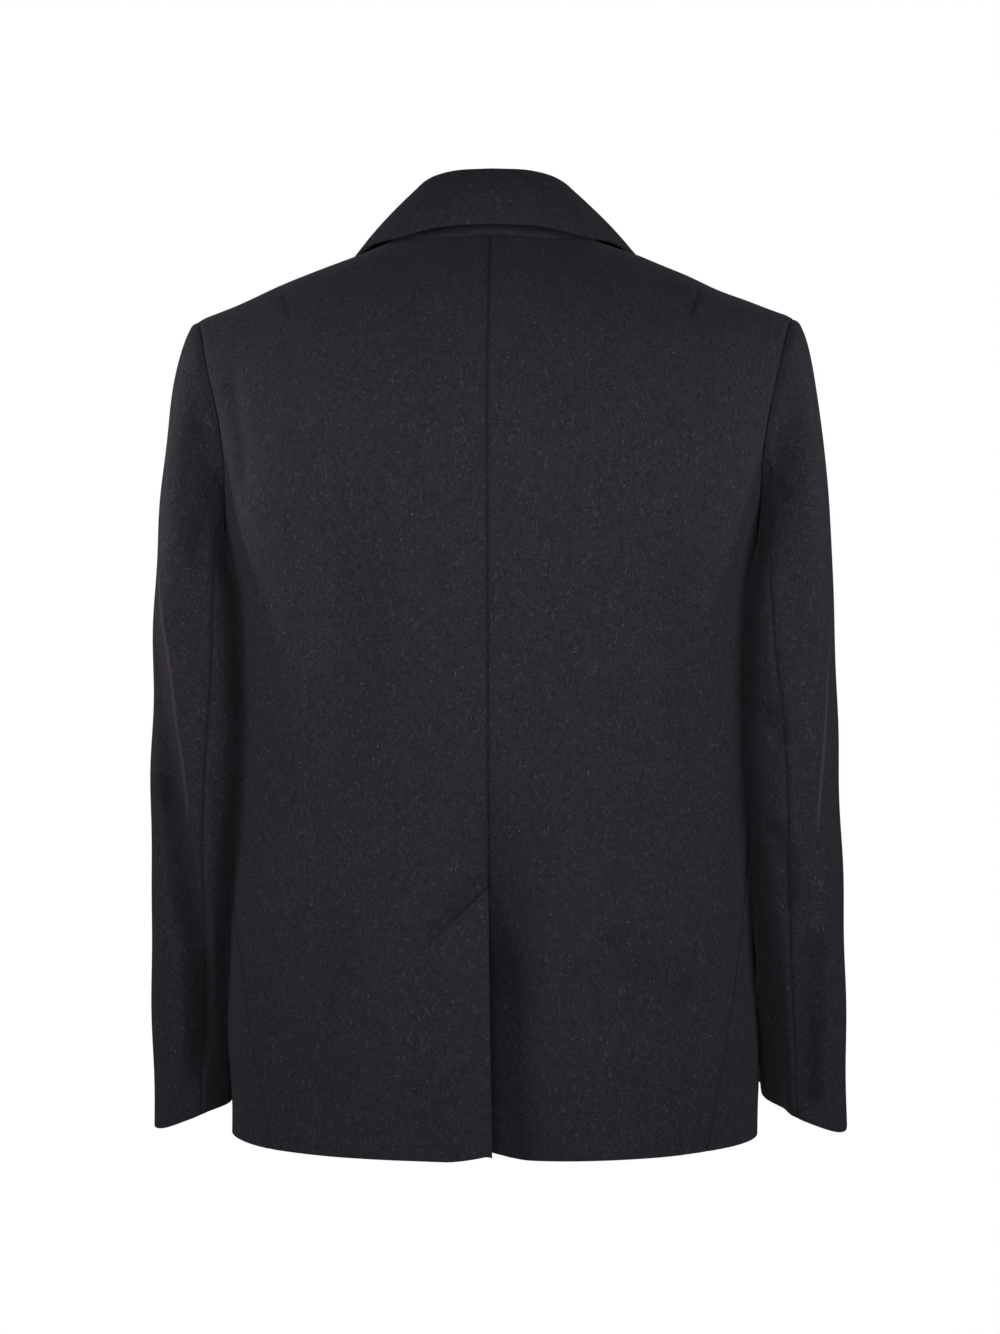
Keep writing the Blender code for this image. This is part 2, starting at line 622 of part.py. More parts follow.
# ---------------------------------------------------------------- buttons
def button(name, x, z, material):
    """A turned disc on its shank, square to the left front."""

    def cloth(x, z):
        return front_surface(x, z, overlap_lift(x, z))

    middle = cloth(x, z)
    normal = np.cross(cloth(x, z + 0.004) - cloth(x, z - 0.004), cloth(x + 0.004, z) - cloth(x - 0.004, z))
    normal = Vector(normal if normal[1] < 0 else -normal).normalized()
    turned = bmesh.new()
    rings = []
    for radius, height in BUTTON_PROFILE:
        turn = [math.tau * i / BUTTON_SIDES for i in range(BUTTON_SIDES)]
        rings.append([turned.verts.new((radius * math.cos(t), radius * math.sin(t), height)) for t in turn])
    turned.faces.new(rings[0][::-1])
    turned.faces.new(rings[-1])
    for lower, upper in zip(rings, rings[1:]):
        for i in range(BUTTON_SIDES):
            j = (i + 1) % BUTTON_SIDES
            turned.faces.new((lower[i], lower[j], upper[j], upper[i]))
    mesh = bpy.data.meshes.new(name)
    turned.to_mesh(mesh)
    turned.free()
    piece = finish(name, mesh, material)
    piece.location = Vector(middle)
    piece.rotation_euler = normal.to_track_quat("Z", "Y").to_euler()
    return piece


# ---------------------------------------------------------------- the coat
def wool_wall(name, faces, side="left"):
    outer, inner = (mirrored(face) if side == "right" else face for face in faces)
    return wall(name, outer, inner, make_material(name + "_wool", WOOL, 0.95))


def main():
    for thing in list(bpy.data.objects):
        bpy.data.objects.remove(thing, do_unlink=True)
    for side in ("left", "right"):
        wool_wall(f"back_{side}", back(side), side)
        wool_wall(f"front_{side}", front(side), side)
        wool_wall(f"lapel_{side}", lapel(side), side)
        wool_wall(f"sleeve_top_{side}", sleeve(side, "top"), side)
        wool_wall(f"sleeve_under_{side}", sleeve(side, "under"), side)
    wool_wall("collar", collar())
    for side, x in BUTTON_COLUMNS.items():
        for row, z in enumerate(BUTTON_HEIGHTS, 1):
            name = f"button_{side}_{row}"
            button(name, x, z, make_material(name + "_horn", HORN, 0.4))


main()
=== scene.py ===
import math

import bmesh
import bpy
import numpy as np
from mathutils import Matrix, Vector
from mathutils.bvhtree import BVHTree


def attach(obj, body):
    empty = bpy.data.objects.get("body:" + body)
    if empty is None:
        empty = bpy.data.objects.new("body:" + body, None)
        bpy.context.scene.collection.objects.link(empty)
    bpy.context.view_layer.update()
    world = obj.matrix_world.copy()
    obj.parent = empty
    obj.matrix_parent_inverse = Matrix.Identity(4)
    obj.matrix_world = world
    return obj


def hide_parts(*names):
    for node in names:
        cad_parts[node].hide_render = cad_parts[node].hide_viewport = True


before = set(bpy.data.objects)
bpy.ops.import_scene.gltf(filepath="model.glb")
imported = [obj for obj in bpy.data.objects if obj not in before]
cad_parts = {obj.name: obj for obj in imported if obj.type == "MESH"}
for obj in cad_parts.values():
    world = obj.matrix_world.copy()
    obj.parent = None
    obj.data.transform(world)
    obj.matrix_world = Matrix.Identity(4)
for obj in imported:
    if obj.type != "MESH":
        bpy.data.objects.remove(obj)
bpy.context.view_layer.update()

# ---- the coat's sizes, as in its solids
CLOTH = 0.0025
LAYERS = 0.0034  # lapels and collar
LAY_GAP = 0.0012
LAPEL_GAP = 0.0018

BACK_LENGTH = 0.690
SIDE_RISE = 0.006
NECK_HALF = 0.078
SHOULDER_SLOPE = 0.408
NECK_ROUND = 0.030
SHOULDER_ROLL = 0.200
NECK_BACK_ANGLE = 28.3
SEAM_LEVEL = 1.999  # just below the shoulder seam and the neckline
SQUARENESS = 2.6

FRONT_EDGE = 0.075
BREAK_HEIGHT = -0.298
GORGE = (0.043, -0.050)
NOTCH = (0.108, -0.088)
LAPEL_POINT = (0.154, -0.090)
FOLD_RADIUS, FOLD_BACK = 0.0045, 0.0005
GORGE_GAP = 0.00030
COLLAR_SEAM_GAP = 0.0004
COLLAR_BELLY = 0.003
COLLAR_LIES = (0.70, 1.0)

VENT_TOP = -0.493
VENT_SLANT = 0.040
UNDERLAP = 0.043
VENT_OVER = 0.004
VENT_LIFT = 0.004
VENT_CORNER_LIFT, VENT_CORNER_REACH = 0.0045, 0.030  # the hem rises a little at the vent

SLEEVE_SWING = {"left": 0.000, "right": 0.0085}
BUTTON_COLUMNS = {"left": 0.058, "right": -0.054}
BUTTON_HEIGHTS = (-0.335, -0.432, -0.529)

BODY = (
    ("height", "half_width", "back_depth", "front_depth", "centre_y"),
    (-0.700, 0.2010, 0.130, 0.130, 0.000),
    (-0.620, 0.1990, 0.127, 0.129, 0.000),
    (-0.550, 0.1955, 0.122, 0.127, 0.000),
    (-0.450, 0.1915, 0.117, 0.124, 0.000),
    (-0.350, 0.1905, 0.120, 0.126, 0.000),
    (-0.250, 0.1930, 0.126, 0.130, 0.001),
    (-0.190, 0.2055, 0.130, 0.127, 0.003),
    (-0.140, 0.2215, 0.131, 0.120, 0.004),
    (-0.090, 0.2420, 0.131, 0.114, 0.005),
    (-0.040, 0.2590, 0.129, 0.108, 0.007),
    (0.030, 0.2670, 0.124, 0.100, 0.010),
)
SIDE_SEAM = (
    ("level", "angle"),
    (0.000, 40.5),
    (0.055, 38.0),
    (0.157, 32.7),
    (0.259, 26.5),
    (0.406, 16.8),
    (0.536, 12.0),
    (0.763, 8.5),
    (1.000, 7.0),
)
ARMHOLE = (
    ("level", "back_angle", "front_angle"),
    (1.000, 7.0, 7.0),
    (1.015, 8.2, -2.0),
    (1.040, 9.6, -10.0),
    (1.090, 10.8, -17.5),
    (1.160, 12.6, -23.5),
    (1.250, 17.0, -28.5),
    (1.380, 21.2, -32.0),
    (1.490, 24.6, -33.0),
    (1.700, 28.2, -32.0),
    (2.000, 28.9, -28.9),
)
SLEEVE = (
    ("height", "outer", "inner", "back", "front"),
    (-0.680, 0.2630, 0.2055, 0.042, -0.076),
    (-0.590, 0.2645, 0.2000, 0.049, -0.077),
    (-0.510, 0.2648, 0.1965, 0.058, -0.077),
    (-0.430, 0.2640, 0.1950, 0.068, -0.078),
    (-0.350, 0.2625, 0.1945, 0.075, -0.083),
    (-0.285, 0.2610, 0.1955, 0.076, -0.088),
)
CUFF, ARM_TOP = SLEEVE[1][0], SLEEVE[-1][0]  # heights
SLEEVE_HUG = 0.045  # how far the inner side's corners go in towards the body
HUG_START, HUG_REACH = 0.030, 0.050
SLEEVE_TILT = 0.020
CUFF_DROP = -0.684
CUFF_RISE_IN, CUFF_RISE_FRONT = 0.38, 0.10
SLEEVE_SQUARENESS = 2.8
# The hind sleeve seam as an angle round the sleeve: along is 0 at the armhole, 1 at the upper arm, 2 at the
# cuff.
HIND_SEAM = (
    ("along", "left", "right"),
    (0.00, 136.0, 114.0),
    (0.45, 124.0, 118.0),
    (0.75, 117.0, 115.0),
    (1.00, 111.0, 109.0),
    (1.20, 104.0, 99.0),
    (1.38, 101.5, 98.0),
    (1.58, 103.0, 100.0),
    (1.80, 104.5, 102.5),
    (2.00, 106.5, 107.0),
)
FORE_SEAM = 262.0
# How much wider the flanks are than the form, each side of the body for itself.
FLANK = (
    ("height", "left", "right"),
    (-0.700, 0.0005, 0.0010),
    (-0.660, 0.0020, 0.0020),
    (-0.620, 0.0060, 0.0035),
    (-0.550, 0.0095, 0.0045),
    (-0.450, 0.0115, 0.0070),
    (-0.350, 0.0115, 0.0085),
    (-0.280, 0.0122, 0.0095),
    (-0.230, 0.0118, 0.0085),
    (-0.190, 0.0045, 0.0045),
    (-0.140, 0.0000, 0.0000),
)
CAP = (
    ("place", "out", "down"),
    ("top", 0.0220, 0.110),
    ("side", 0.0220, 0.050),
    ("armpit", 0.0045, 0.012),
)
COLLAR = (
    ("along", "fold_x", "fold_y", "fold_z", "edge_x", "edge_y", "edge_z"),
    (0.00, 0.0000, 0.0560, 0.0470, 0.0000, 0.0805, 0.0044),
    (0.17, 0.0270, 0.0520, 0.0462, 0.0380, 0.0765, 0.0026),
    (0.34, 0.0460, 0.0350, 0.0430, 0.0730, 0.0560, -0.0030),
    (0.50, 0.0550, 0.0080, 0.0375, 0.0955, 0.0220, -0.0046),
    (0.67, 0.0575, -0.0230, 0.0240, 0.1140, -0.0200, -0.0166),
    (0.83, 0.0535, -0.0540, -0.0080, 0.1270, -0.0440, -0.0391),
    (1.00, 0.0430, -0.0800, -0.0480, 0.1330, -0.0625, -0.0640),
)
LAPEL = (
    ("along", "edge_x", "edge_z"),
    (0.00, -0.0710, -0.3020),
    (0.20, -0.0180, -0.2640),
    (0.45, 0.0500, -0.2080),
    (0.75, 0.1150, -0.1440),
    (1.00, *LAPEL_POINT),
)

# ---- how the cloth is finished
EDGE_ROUND = 0.0011  # radius of a turned and pressed edge
GROOVE_DEPTH, GROOVE_WIDTH = 0.0011, 0.0013  # of a seam
ARMHOLE_DEPTH, ARMHOLE_WIDTH = 0.0025, 0.0034  # the sleeve is set in with a deeper valley
SEAM_SWELL, SWELL_PLACE, SWELL_WIDTH = 0.0003, 0.0062, 0.0030  # the seam allowance shows through
SPACING = 0.0032  # of the shells' points
EDGE_STEPS = (0.0, 0.0003, 0.0007, 0.0012, 0.0019, 0.0030)  # distances of the points next to an edge
UNEVEN, UNEVEN_SIZE, UNEVEN_WAVES = 0.0007, 0.070, 11  # of hung cloth: height, wavelength, how many waves
FINE_STEPS, EDGE_POINTS, CREASE_POINTS, NECK_POINTS = 400, 200, 40, 60  # for measuring along curves

# Soft folds and pressed creases in tenths of a millimetre, each along a line drawn on the coat as seen from
# one side. Points are (x, height) from the back and the front, and (y, height) from the outer side of a
# sleeve. A negative depth is a trough. A soft one rounds off over its width, a sharp one falls from a crisp
# line.
TENTHS = 10000  # of a millimetre in a metre
CREASES = (
    ("piece", "seen_from", ("profile", "depth", "width", "points")),
    # left sleeve, back: the pressed crease and the valley outside it, down to the cuff
    ("sleeve_top_left", "back",
     ("sharp", 80, 75, (2540, -2350), (2494, -2770), (2420, -3220),
      (2360, -3670), (2312, -4120), (2270, -4550)),
     ("soft", -70, 85, (2560, -2900), (2500, -3450), (2440, -3900), (2400, -4400)),
     ("soft", -110, 105, (2460, -3850), (2390, -4450), (2310, -5020),
      (2230, -5400), (2200, -5930), (2150, -6500)),
     ("soft", -35, 80, (2208, -2050), (2208, -2550)),
     ("soft", 40, 90, (2380, -5300), (2340, -6000), (2360, -6500))),
    # right sleeve, back
    ("sleeve_top_right", "back",
     ("sharp", 65, 70, (-2565, -2700), (-2535, -3220), (-2500, -3670), (-2465, -4120), (-2445, -4570)),
     ("soft", -75, 110, (-2446, -5250), (-2416, -5780), (-2386, -6300), (-2380, -6650))),
    ("sleeve_under_right", "back",
     ("soft", -60, 80, (-1950, -3400), (-2080, -3620), (-2230, -3880)),
     ("soft", -45, 80, (-2080, -4400), (-2200, -4700), (-2280, -5200))),
    ("sleeve_top_right", "back",
     ("soft", -35, 50, (-2090, -1870), (-2170, -1920), (-2260, -1970))),
    # back: the top edge of the vent's lap, and soft folds
    ("back_left", "back",
     ("soft", -26, 50, (30, -4830), (160, -4975), (320, -5150), (480, -5330)),
     ("soft", 18, 180, (528, -2900), (520, -4000), (560, -4900)),
     ("soft", -22, 160, (894, -2400), (880, -3400), (960, -4400)),
     ("soft", -13, 140, (1444, -1500), (1400, -2400), (1460, -3300)),
     ("soft", -14, 160, (1180, -4800), (1150, -5600), (1210, -6800)),
     ("soft", -45, 80, (1985, -950), (1925, -1300), (1875, -1650), (1850, -1950))),
    ("back_right", "back",
     ("soft", -24, 160, (-1414, -2300), (-1390, -3300), (-1470, -4100)),
     ("soft", 13, 200, (-755, -1200), (-740, -2400), (-800, -3700)),
     ("soft", -36, 150, (-828, -5230), (-1195, -5530), (-1561, -5800)),
     ("soft", 30, 180, (-850, -6050), (-1150, -6180), (-1520, -6300))),
    # fronts: drag from the buttons, the armholes and the pocket height
    ("front_left", "front",
     ("soft", -15, 130, (860, -3400), (1180, -3580), (1540, -3920)),
     ("soft", -13, 120, (900, -4370), (1250, -4460), (1600, -4700)),
     ("soft", -16, 120, (1740, -2350), (1560, -2680), (1300, -3000)),
     ("soft", 15, 180, (1020, -5400), (1100, -6100), (1280, -6750)),
     ("soft", -13, 140, (-200, -5600), (-260, -6200), (-180, -6800))),
    ("front_right", "front",
     ("soft", -16, 120, (-1740, -2350), (-1530, -2620), (-1260, -2900)),
     ("soft", -14, 130, (-950, -3520), (-1270, -3720), (-1600, -4150)),
     ("soft", 13, 170, (-1060, -5300), (-1180, -6000), (-1340, -6700))),
    # sleeves, front and outer side: folds round the elbow
    ("sleeve_top_left", "outer",
     ("soft", -26, 90, (-700, -4450), (-420, -4180), (-50, -4050)),
     ("soft", -20, 80, (-720, -4800), (-460, -4620), (-180, -4580)),
     ("soft", -16, 110, (-600, -3300), (-300, -3500), (100, -3520))),
    ("sleeve_top_right", "outer",
     ("soft", -24, 85, (-710, -4320), (-400, -4100), (20, -4020)),
     ("soft", -21, 90, (-700, -4720), (-480, -4580), (-120, -4490)),
     ("soft", -15, 110, (-620, -3400), (-280, -3560), (60, -3500))),
)
INNER_SPREAD, CRISP = 3.0, 0.0008  # of a pressed crease: slower fall inwards, and how round its line is
LINE_REACH = (0.006, 0.020)  # where the painted highlight along its line ends
FULL_CREASE, FULL_TROUGH = 0.0065, 0.016  # heights of a crease and depths of a trough at which their painted highlight and painted shade are full
SEEN_FROM = {"back": ((0, 2), (0, 1, 0)), "front": ((0, 2), (0, -1, 0)), "outer": ((1, 2), (1, 0, 0))}

VENT_SINK, VENT_SINK_HEIGHTS = 0.0065, (0.36, 0.49)  # the seam sinks in towards the top of the vent
VENT_HOLLOW, VENT_HOLLOW_HEIGHTS = 0.019, (0.487, 0.565)  # depth beside the vent, and where it falls in
VENT_STEP = 0.0024  # the top of the underlap shows through the flap
FLAP_REACH, SINK_REACH, SINK_END = 0.060, 0.035, 0.56  # widths beside the seam, and a height
STEP_RISE, STEP_REACH = (-0.0010, 0.0060), (-0.060, -0.030)  # across the underlap's top, and along it
DIP_REACH, DIP_RISE, HOLLOW_REACH = (-0.040, -0.006), 0.012, 0.080  # of the right half under the flap
# Painted shade in the hollow to the right of the vent's top: its strength, its width, and the heights
# between which it starts and ends.
VENT_SHADE, SHADE_REACH, SHADE_HEIGHTS = 0.55, 0.050, ((0.39, 0.48), (0.53, 0.62))
# The short darts of the shoulder blades, from top to foot in x and height, drawn on the left side.
DARTS = {"left": ((0.1590, -0.0470), (0.1515, -0.0650)), "right": ((0.1575, -0.0400), (0.1495, -0.0680))}
# DART_MARK: strength of the painted shade along a dart's line.
DART_MARK, DART_DEPTH, DART_WIDTH = 0.50, 0.0009, 0.0022
TUCK_DEPTH, TUCK_WIDTH, TUCK_END = 0.0016, 0.0030, (-0.060, -0.018)
DARTS_ABOVE = -0.3  # height between the darts and the underlap's top
TUCK_MARK, TUCK_SHADE, TUCK_REACH = 0.45, 0.30, 0.014  # painted shade along the line of the underlap's top, and painted shade in the hollow above it
ROLL_TURNS = (190.0, 90.0)  # round the lapel's and the collar's fold, from its underside
LEAF_START = 0.06  # share of the way to its edge where a leaf leaves its fold
LAPEL_NOTCH_SHARE, COLLAR_NOTCH_SHARE = 0.585, 0.68  # where the notch is along their ends
COLLAR_SHADE = (0.0022, 0.0048)  # painted shade under the fall, rising between these distances from the collar's foot upwards
CAP_LENGTH, ARM_LENGTH = 0.21, 0.40  # of a sleeve above and below the upper arm
CAP_LEAN, CAP_AWAY, CAP_SIDEWAYS = -0.37, 0.55, 0.45  # the way the cap leaves the armhole
HUG_SIDE = 0.3  # how far inwards on a sleeve's section the hugging starts
REST_GAP, REST_FULL, REST_REACH = 0.0016, 0.008, 0.022  # how sleeves lie against the body
REST_SQUARE = (0.45, 0.90)  # how squarely a sleeve has to face the body for it
TURNED_IN, TURNED_IN_DOWN = 0.027, (0.25, 0.85)  # the under sleeve rounds off towards the body
TURNED_IN_START, TURNED_IN_END = (2, 54), (185, 250)  # after the hind seam, and round the sleeve
SLEEVE_SHADE = 0.8  # painted shade of its cloth next to the body

# The deepest wool colour only paints shade; the dark one is the melange's dark fibres and also paints shade
# along seams; the fibre colour is the paler fibres and also paints highlights along sharp creases.
WOOL_PAINTED_SHADE, WOOL_DARK_AND_SEAM_SHADE = (0.0060, 0.0055, 0.0065), (0.0150, 0.0135, 0.0165)
WOOL_WARM, WOOL_COOL = (0.0262, 0.0228, 0.0284), (0.0244, 0.0226, 0.0294)
WOOL_FIBRE_AND_HIGHLIGHT, WOOL_FLECK = (0.054, 0.047, 0.058), (0.16, 0.15, 0.17)
HORN_DARK, HORN_LIGHT = (0.010, 0.009, 0.010), (0.030, 0.025, 0.024)
THREAD_DARK, THREAD_LIGHT = (0.012, 0.011, 0.013), (0.032, 0.029, 0.034)
PALE, PALE_SHADE = (0.86, 0.86, 0.86), (0.80, 0.80, 0.80)

CAMERA_PLACE, CAMERA_AIM = (-0.113, 2.598, -0.327), (-0.004, 0.0, -0.327)
CAMERA_LENS = 91  # millimetres, on a sensor 36 mm along the picture's long side
FLOOR_HEIGHT, FLOOR_RADIUS, FLOOR_FADE = -1.45, 3.2, (1.2, 3.0)
SHOULDERS = (0.0, 0.05, -0.20)
LAMPS = (
    ("name", "place", "aim", "size", "power", "spread"),
    ("key", (0.0, 1.05, -0.26), SHOULDERS, (0.4, 0.4), 3.4, 180),
    ("key_high", (0.0, 1.05, 0.08), SHOULDERS, (0.4, 0.4), 2.5, 180),
    ("left", (1.00, 0.60, -0.22), SHOULDERS, (0.5, 0.4), 3.9, 180),
    ("right", (-1.00, 0.60, -0.28), SHOULDERS, (0.5, 0.4), 4.4, 180),
    ("rim_left", (1.05, -0.06, 0.12), (0.275, 0.02, -0.165), (0.1, 0.1), 0.18, 32),
    ("rim_right", (-1.05, -0.06, 0.12), (-0.275, 0.02, -0.15), (0.1, 0.1), 0.08, 32),
    ("front_key", (0.1, -1.6, -0.05), (0.0, -0.1, -0.25), (1.0, 0.8), 22.0, 180),
)
WORLD_LIGHT = 0.03


# ---- reading the tables
def smooth(table, column, at):
    """A column of a table as a smooth curve through its rows, read at the values of the first column."""
    names, *rows = table
    knots, values = (np.array([row[place] for row in rows]) for place in (0, names.index(column)))
    return hermite(knots, values, at)


def hermite(knots, values, at):
    """A smooth curve through values at knots."""
    slopes = np.gradient(values, knots, axis=0)
    at = np.clip(np.asarray(at, float), knots[0], knots[-1])
    i = np.clip(np.searchsorted(knots, at) - 1, 0, len(knots) - 2)
    step = knots[i + 1] - knots[i]
    t = (at - knots[i]) / step
    if values.ndim > 1:
        t, step = t[..., None], step[..., None]
    start = values[i] * (2 * t**3 - 3 * t**2 + 1) + slopes[i] * step * (t**3 - 2 * t**2 + t)
    end = values[i + 1] * (3 * t**2 - 2 * t**3) + slopes[i + 1] * step * (t**3 - t**2)
    return start + end


def body(column, height):
    return smooth(BODY, column, height)


def step_up(value, start, end):
    """0 before start, 1 after end, and smooth between them."""
    t = np.clip((np.asarray(value, float) - start) / (end - start), 0, 1)
    return t * t * (3 - 2 * t)


def unit(vectors):
    return vectors / np.linalg.norm(vectors, axis=-1, keepdims=True)


def mix(a, b, t):
    return a + (b - a) * t


def mirrored(points):
    return points * (-1, 1, 1)


def run_along(points, axis):
    """Distances along a grid of points from its first row or column."""
    steps = np.linalg.norm(np.diff(points, axis=axis), axis=-1)
    return np.concatenate([np.zeros_like(np.take(steps, [0], axis)), np.cumsum(steps, axis=axis)], axis=axis)


# ---- the form, as in the solids
def ridge(x):
    return -SHOULDER_SLOPE * (np.hypot(x, NECK_ROUND) - math.hypot(NECK_HALF, NECK_ROUND))


def hem(angle):
    return -BACK_LENGTH + SIDE_RISE * np.cos(np.radians(angle)) ** 2


def neck_angle(x, angle):
    inside = np.clip(1 - (x / NECK_HALF) ** 2, 0, 1) * (angle > 0)
    return np.degrees(np.arcsin(math.sin(math.radians(NECK_BACK_ANGLE)) * np.sqrt(inside)))


def squared(angle, squareness):
    """Across and deep, from -1 to 1, of the outline of a rounded box."""
    turn = np.radians(angle)
    return [np.sign(part) * np.abs(part) ** (2 / squareness) for part in (np.cos(turn), np.sin(turn))]


def form(angle, level):
    """Points of the figure. angle: 0 at the left side, 90 at the back, -90 at the front.
    level: 0 at the hem, 1 at the armpits, 2 along the shoulder seam and the neckline."""
    angle, level = np.broadcast_arrays(np.asarray(angle, float), np.asarray(level, float))
    across, deep = squared(angle, SQUARENESS)
    x = 0.2 * across
    for _ in range(8):  # height and width depend on each other
        top = neck_angle(x, angle)
        roll = np.radians(mix(90.0, top, np.clip(level - 1, 0, 1)))
        upper = ridge(x) - SHOULDER_ROLL * (1 - np.cos(roll))
        lower = mix(hem(angle), ridge(x) - SHOULDER_ROLL, np.minimum(level, 1))
        z = np.where(level < 1, lower, upper)
        x = body("half_width", z) * across
    depth = np.where(deep > 0, body("back_depth", z), body("front_depth", z))
    y = body("centre_y", z) + depth * deep * np.sin(roll)
    return np.stack([x, y, z], axis=-1)


def outward(angle, level, small=0.4):
    """The form's outward normals."""
    angle, level = np.broadcast_arrays(np.asarray(angle, float), np.asarray(level, float))
    rise = small / 100
    around = form(angle + small, level) - form(angle - small, level)
    up = form(angle, np.minimum(level + rise, 2)) - form(angle, np.maximum(level - rise, 0))
    return unit(np.cross(around, up))


def address(x, z):
    """The angle and level of the front point at x and height z."""
    share = np.clip(np.abs(x) / body("half_width", z), 0, 1) ** (SQUARENESS / 2)
    turn = np.degrees(np.arccos(share))
    angle = np.where(np.asarray(x) >= 0, -turn, turn - 180)
    drop = np.clip((ridge(x) - z) / SHOULDER_ROLL, 0, 1)
    low = hem(angle)
    lower = (z - low) / (ridge(x) - SHOULDER_ROLL - low)
    return angle, np.where(drop >= 1, lower, 2 - np.degrees(np.arccos(1 - drop)) / 90)


def front_surface(x, z, out=0.0):
    """Front points at x and height z, moved outwards."""
    angle, level = address(x, z)
    return form(angle, level) + outward(angle, level) * np.asarray(out)[..., None]


# ---- shells
def even_columns(surface, start, end, rows):
    """Places round each row of a surface, SPACING apart and closer along both edges. Also returns each
    point's distances from the two edges."""
    share = np.linspace(0, 1, FINE_STEPS)
    around = mix(start, end, share)
    run = run_along(surface(around, rows), 1)
    edge = np.array(EDGE_STEPS)
    count = int(run[:, -1].max() / SPACING)
    spots = []
    for length in run[:, -1]:
        between = np.linspace(edge[-1], length - edge[-1], count)
        spots.append(np.concatenate([edge[:-1], between, length - edge[-2::-1]]))
    spots = np.array(spots)
    places = np.array([np.interp(spot, way, turn) for spot, way, turn in zip(spots, run, around)])
    return places, spots, run[:, -1:] - spots


def turned_edge(distance, where=1.0):
    """How far both faces of the cloth close in on each other at a turned edge."""
    near = np.clip(1 - distance / EDGE_ROUND, 0, 1) * where
    return EDGE_ROUND * (1 - np.sqrt(1 - near**2))


def seam_valley(distance, depth, width):
    """Relief beside a seam: its groove, and the swell of the allowance behind."""
    swell = SEAM_SWELL * np.exp(-(((distance - SWELL_PLACE) / SWELL_WIDTH) ** 2))
    return swell - depth * np.exp(-((distance / width) ** 2))


def unevenness(points):
    """Soft waves of hung cloth, the same on both sides of a seam."""
    random = np.random.default_rng(7)
    total = np.zeros(points.shape[:-1])
    for _ in range(UNEVEN_WAVES):
        direction = unit(random.normal(size=3) * (1.0, 1.0, 0.6))
        waves = math.tau / (UNEVEN_SIZE * random.uniform(0.6, 1.8))
        total += np.sin(points @ direction * waves + random.uniform(0, math.tau))
    return UNEVEN * total / 3


def family(name):
    """Creases run on over the seams between the panels of one sleeve, or of the body."""
    return "sleeve" + name[name.rindex("_") :] if name.startswith("sleeve") else "body"


def crease_lines(panels):
    """Each crease of the table as a smooth line of points on its panel."""
    lines = []
    for piece, seen_from, *folds in CREASES[1:]:
        axes, towards = SEEN_FROM[seen_from]
        points, normals = panels[piece]["points"], panels[piece]["normals"]
        towards = np.array(towards) * ((-1, 1, 1) if piece.endswith("right") else (1, 1, 1))
        seen = points[normals @ towards > 0.03]
        for profile, depth, width, *marks in folds:
            marks = np.array(marks) / TENTHS
            spots = [seen[np.argmin(np.sum((seen[:, axes] - mark) ** 2, axis=1))] for mark in marks]
            line = hermite(np.linspace(0, 1, len(spots)), np.array(spots), np.linspace(0, 1, CREASE_POINTS))
            lines.append((family(piece), profile, depth / TENTHS, width / TENTHS, towards, line))
    return lines


def creases(name, points, lines):
    """How far the folds move each point of a panel, and its marks: how strongly a painted highlight lights
    it along a sharp crease's line and painted shade darkens it in a trough, and its distance from that line,
    below 0 on the outer side."""
    moved, painted_line, hollow = np.zeros(points.shape), np.zeros(points.shape[:-1]), np.zeros(points.shape[:-1])
    edge = np.full(points.shape[:-1], 0.05)
    for owner, profile, depth, width, towards, line in lines:
        reach = 4 * width
        low, high = line.min(axis=0) - reach, line.max(axis=0) + reach
        near = np.all((points > low) & (points < high), axis=-1)
        if owner != family(name) or not near.any():
            continue
        close = points[near]
        distance, along, outside = np.full(len(close), 1.0), np.zeros(len(close)), np.zeros(len(close), bool)
        for i in range(len(line) - 1):
            step = line[i + 1] - line[i]
            part = np.clip((close - line[i]) @ step / (step @ step), 0, 1)
            foot = line[i] + part[:, None] * step
            away = np.linalg.norm(close - foot, axis=-1)
            nearer = away < distance
            along = np.where(nearer, (i + part) / (len(line) - 1), along)
            outside = np.where(nearer, np.abs(close[:, 0]) > np.abs(foot[:, 0]), outside)
            distance = np.where(nearer, away, distance)
        fade = step_up(along, 0, 0.15) * (1 - step_up(along, 0.85, 1.0))
        if profile == "sharp":  # a pressed edge, steeper on its outer side
            lasting, fade = fade, step_up(along, 0, 0.4) * (1 - step_up(along, 0.6, 1.0))
            spread = np.where(outside, 1.0, INNER_SPREAD) * width
            height = np.exp(-(np.hypot(distance, CRISP) - CRISP) / spread)
            # painted highlight along the sharp crease's line
            painted_line[near] = lasting * (1 - step_up(distance, *LINE_REACH)) * min(1.0, depth / FULL_CREASE)
            edge[near] = np.where(outside, -distance, distance)
        else:
            height = np.exp(-((distance / width) ** 2))
            # painted shade in the trough
            hollow[near] = np.maximum(hollow[near], fade * height * max(0.0, -depth / FULL_TROUGH))
        moved[near] += (depth * fade * height)[:, None] * towards
    return moved, {"painted_line": painted_line, "hollow": hollow, "edge": edge}


def grid_faces(grid, first=0):
    """Numbers of a grid's points from first on, and its faces."""
    rows, columns = grid.shape[:2]
    number = np.arange(rows * columns).reshape(rows, columns) + first
    corners = [number[:-1, :-1], number[:-1, 1:], number[1:, 1:], number[1:, :-1]]
    return number, np.stack(corners, axis=-1).reshape(-1, 4)


def linked(name, data):
    made = bpy.data.objects.new(name, data)
    bpy.context.scene.collection.objects.link(made)
    return made


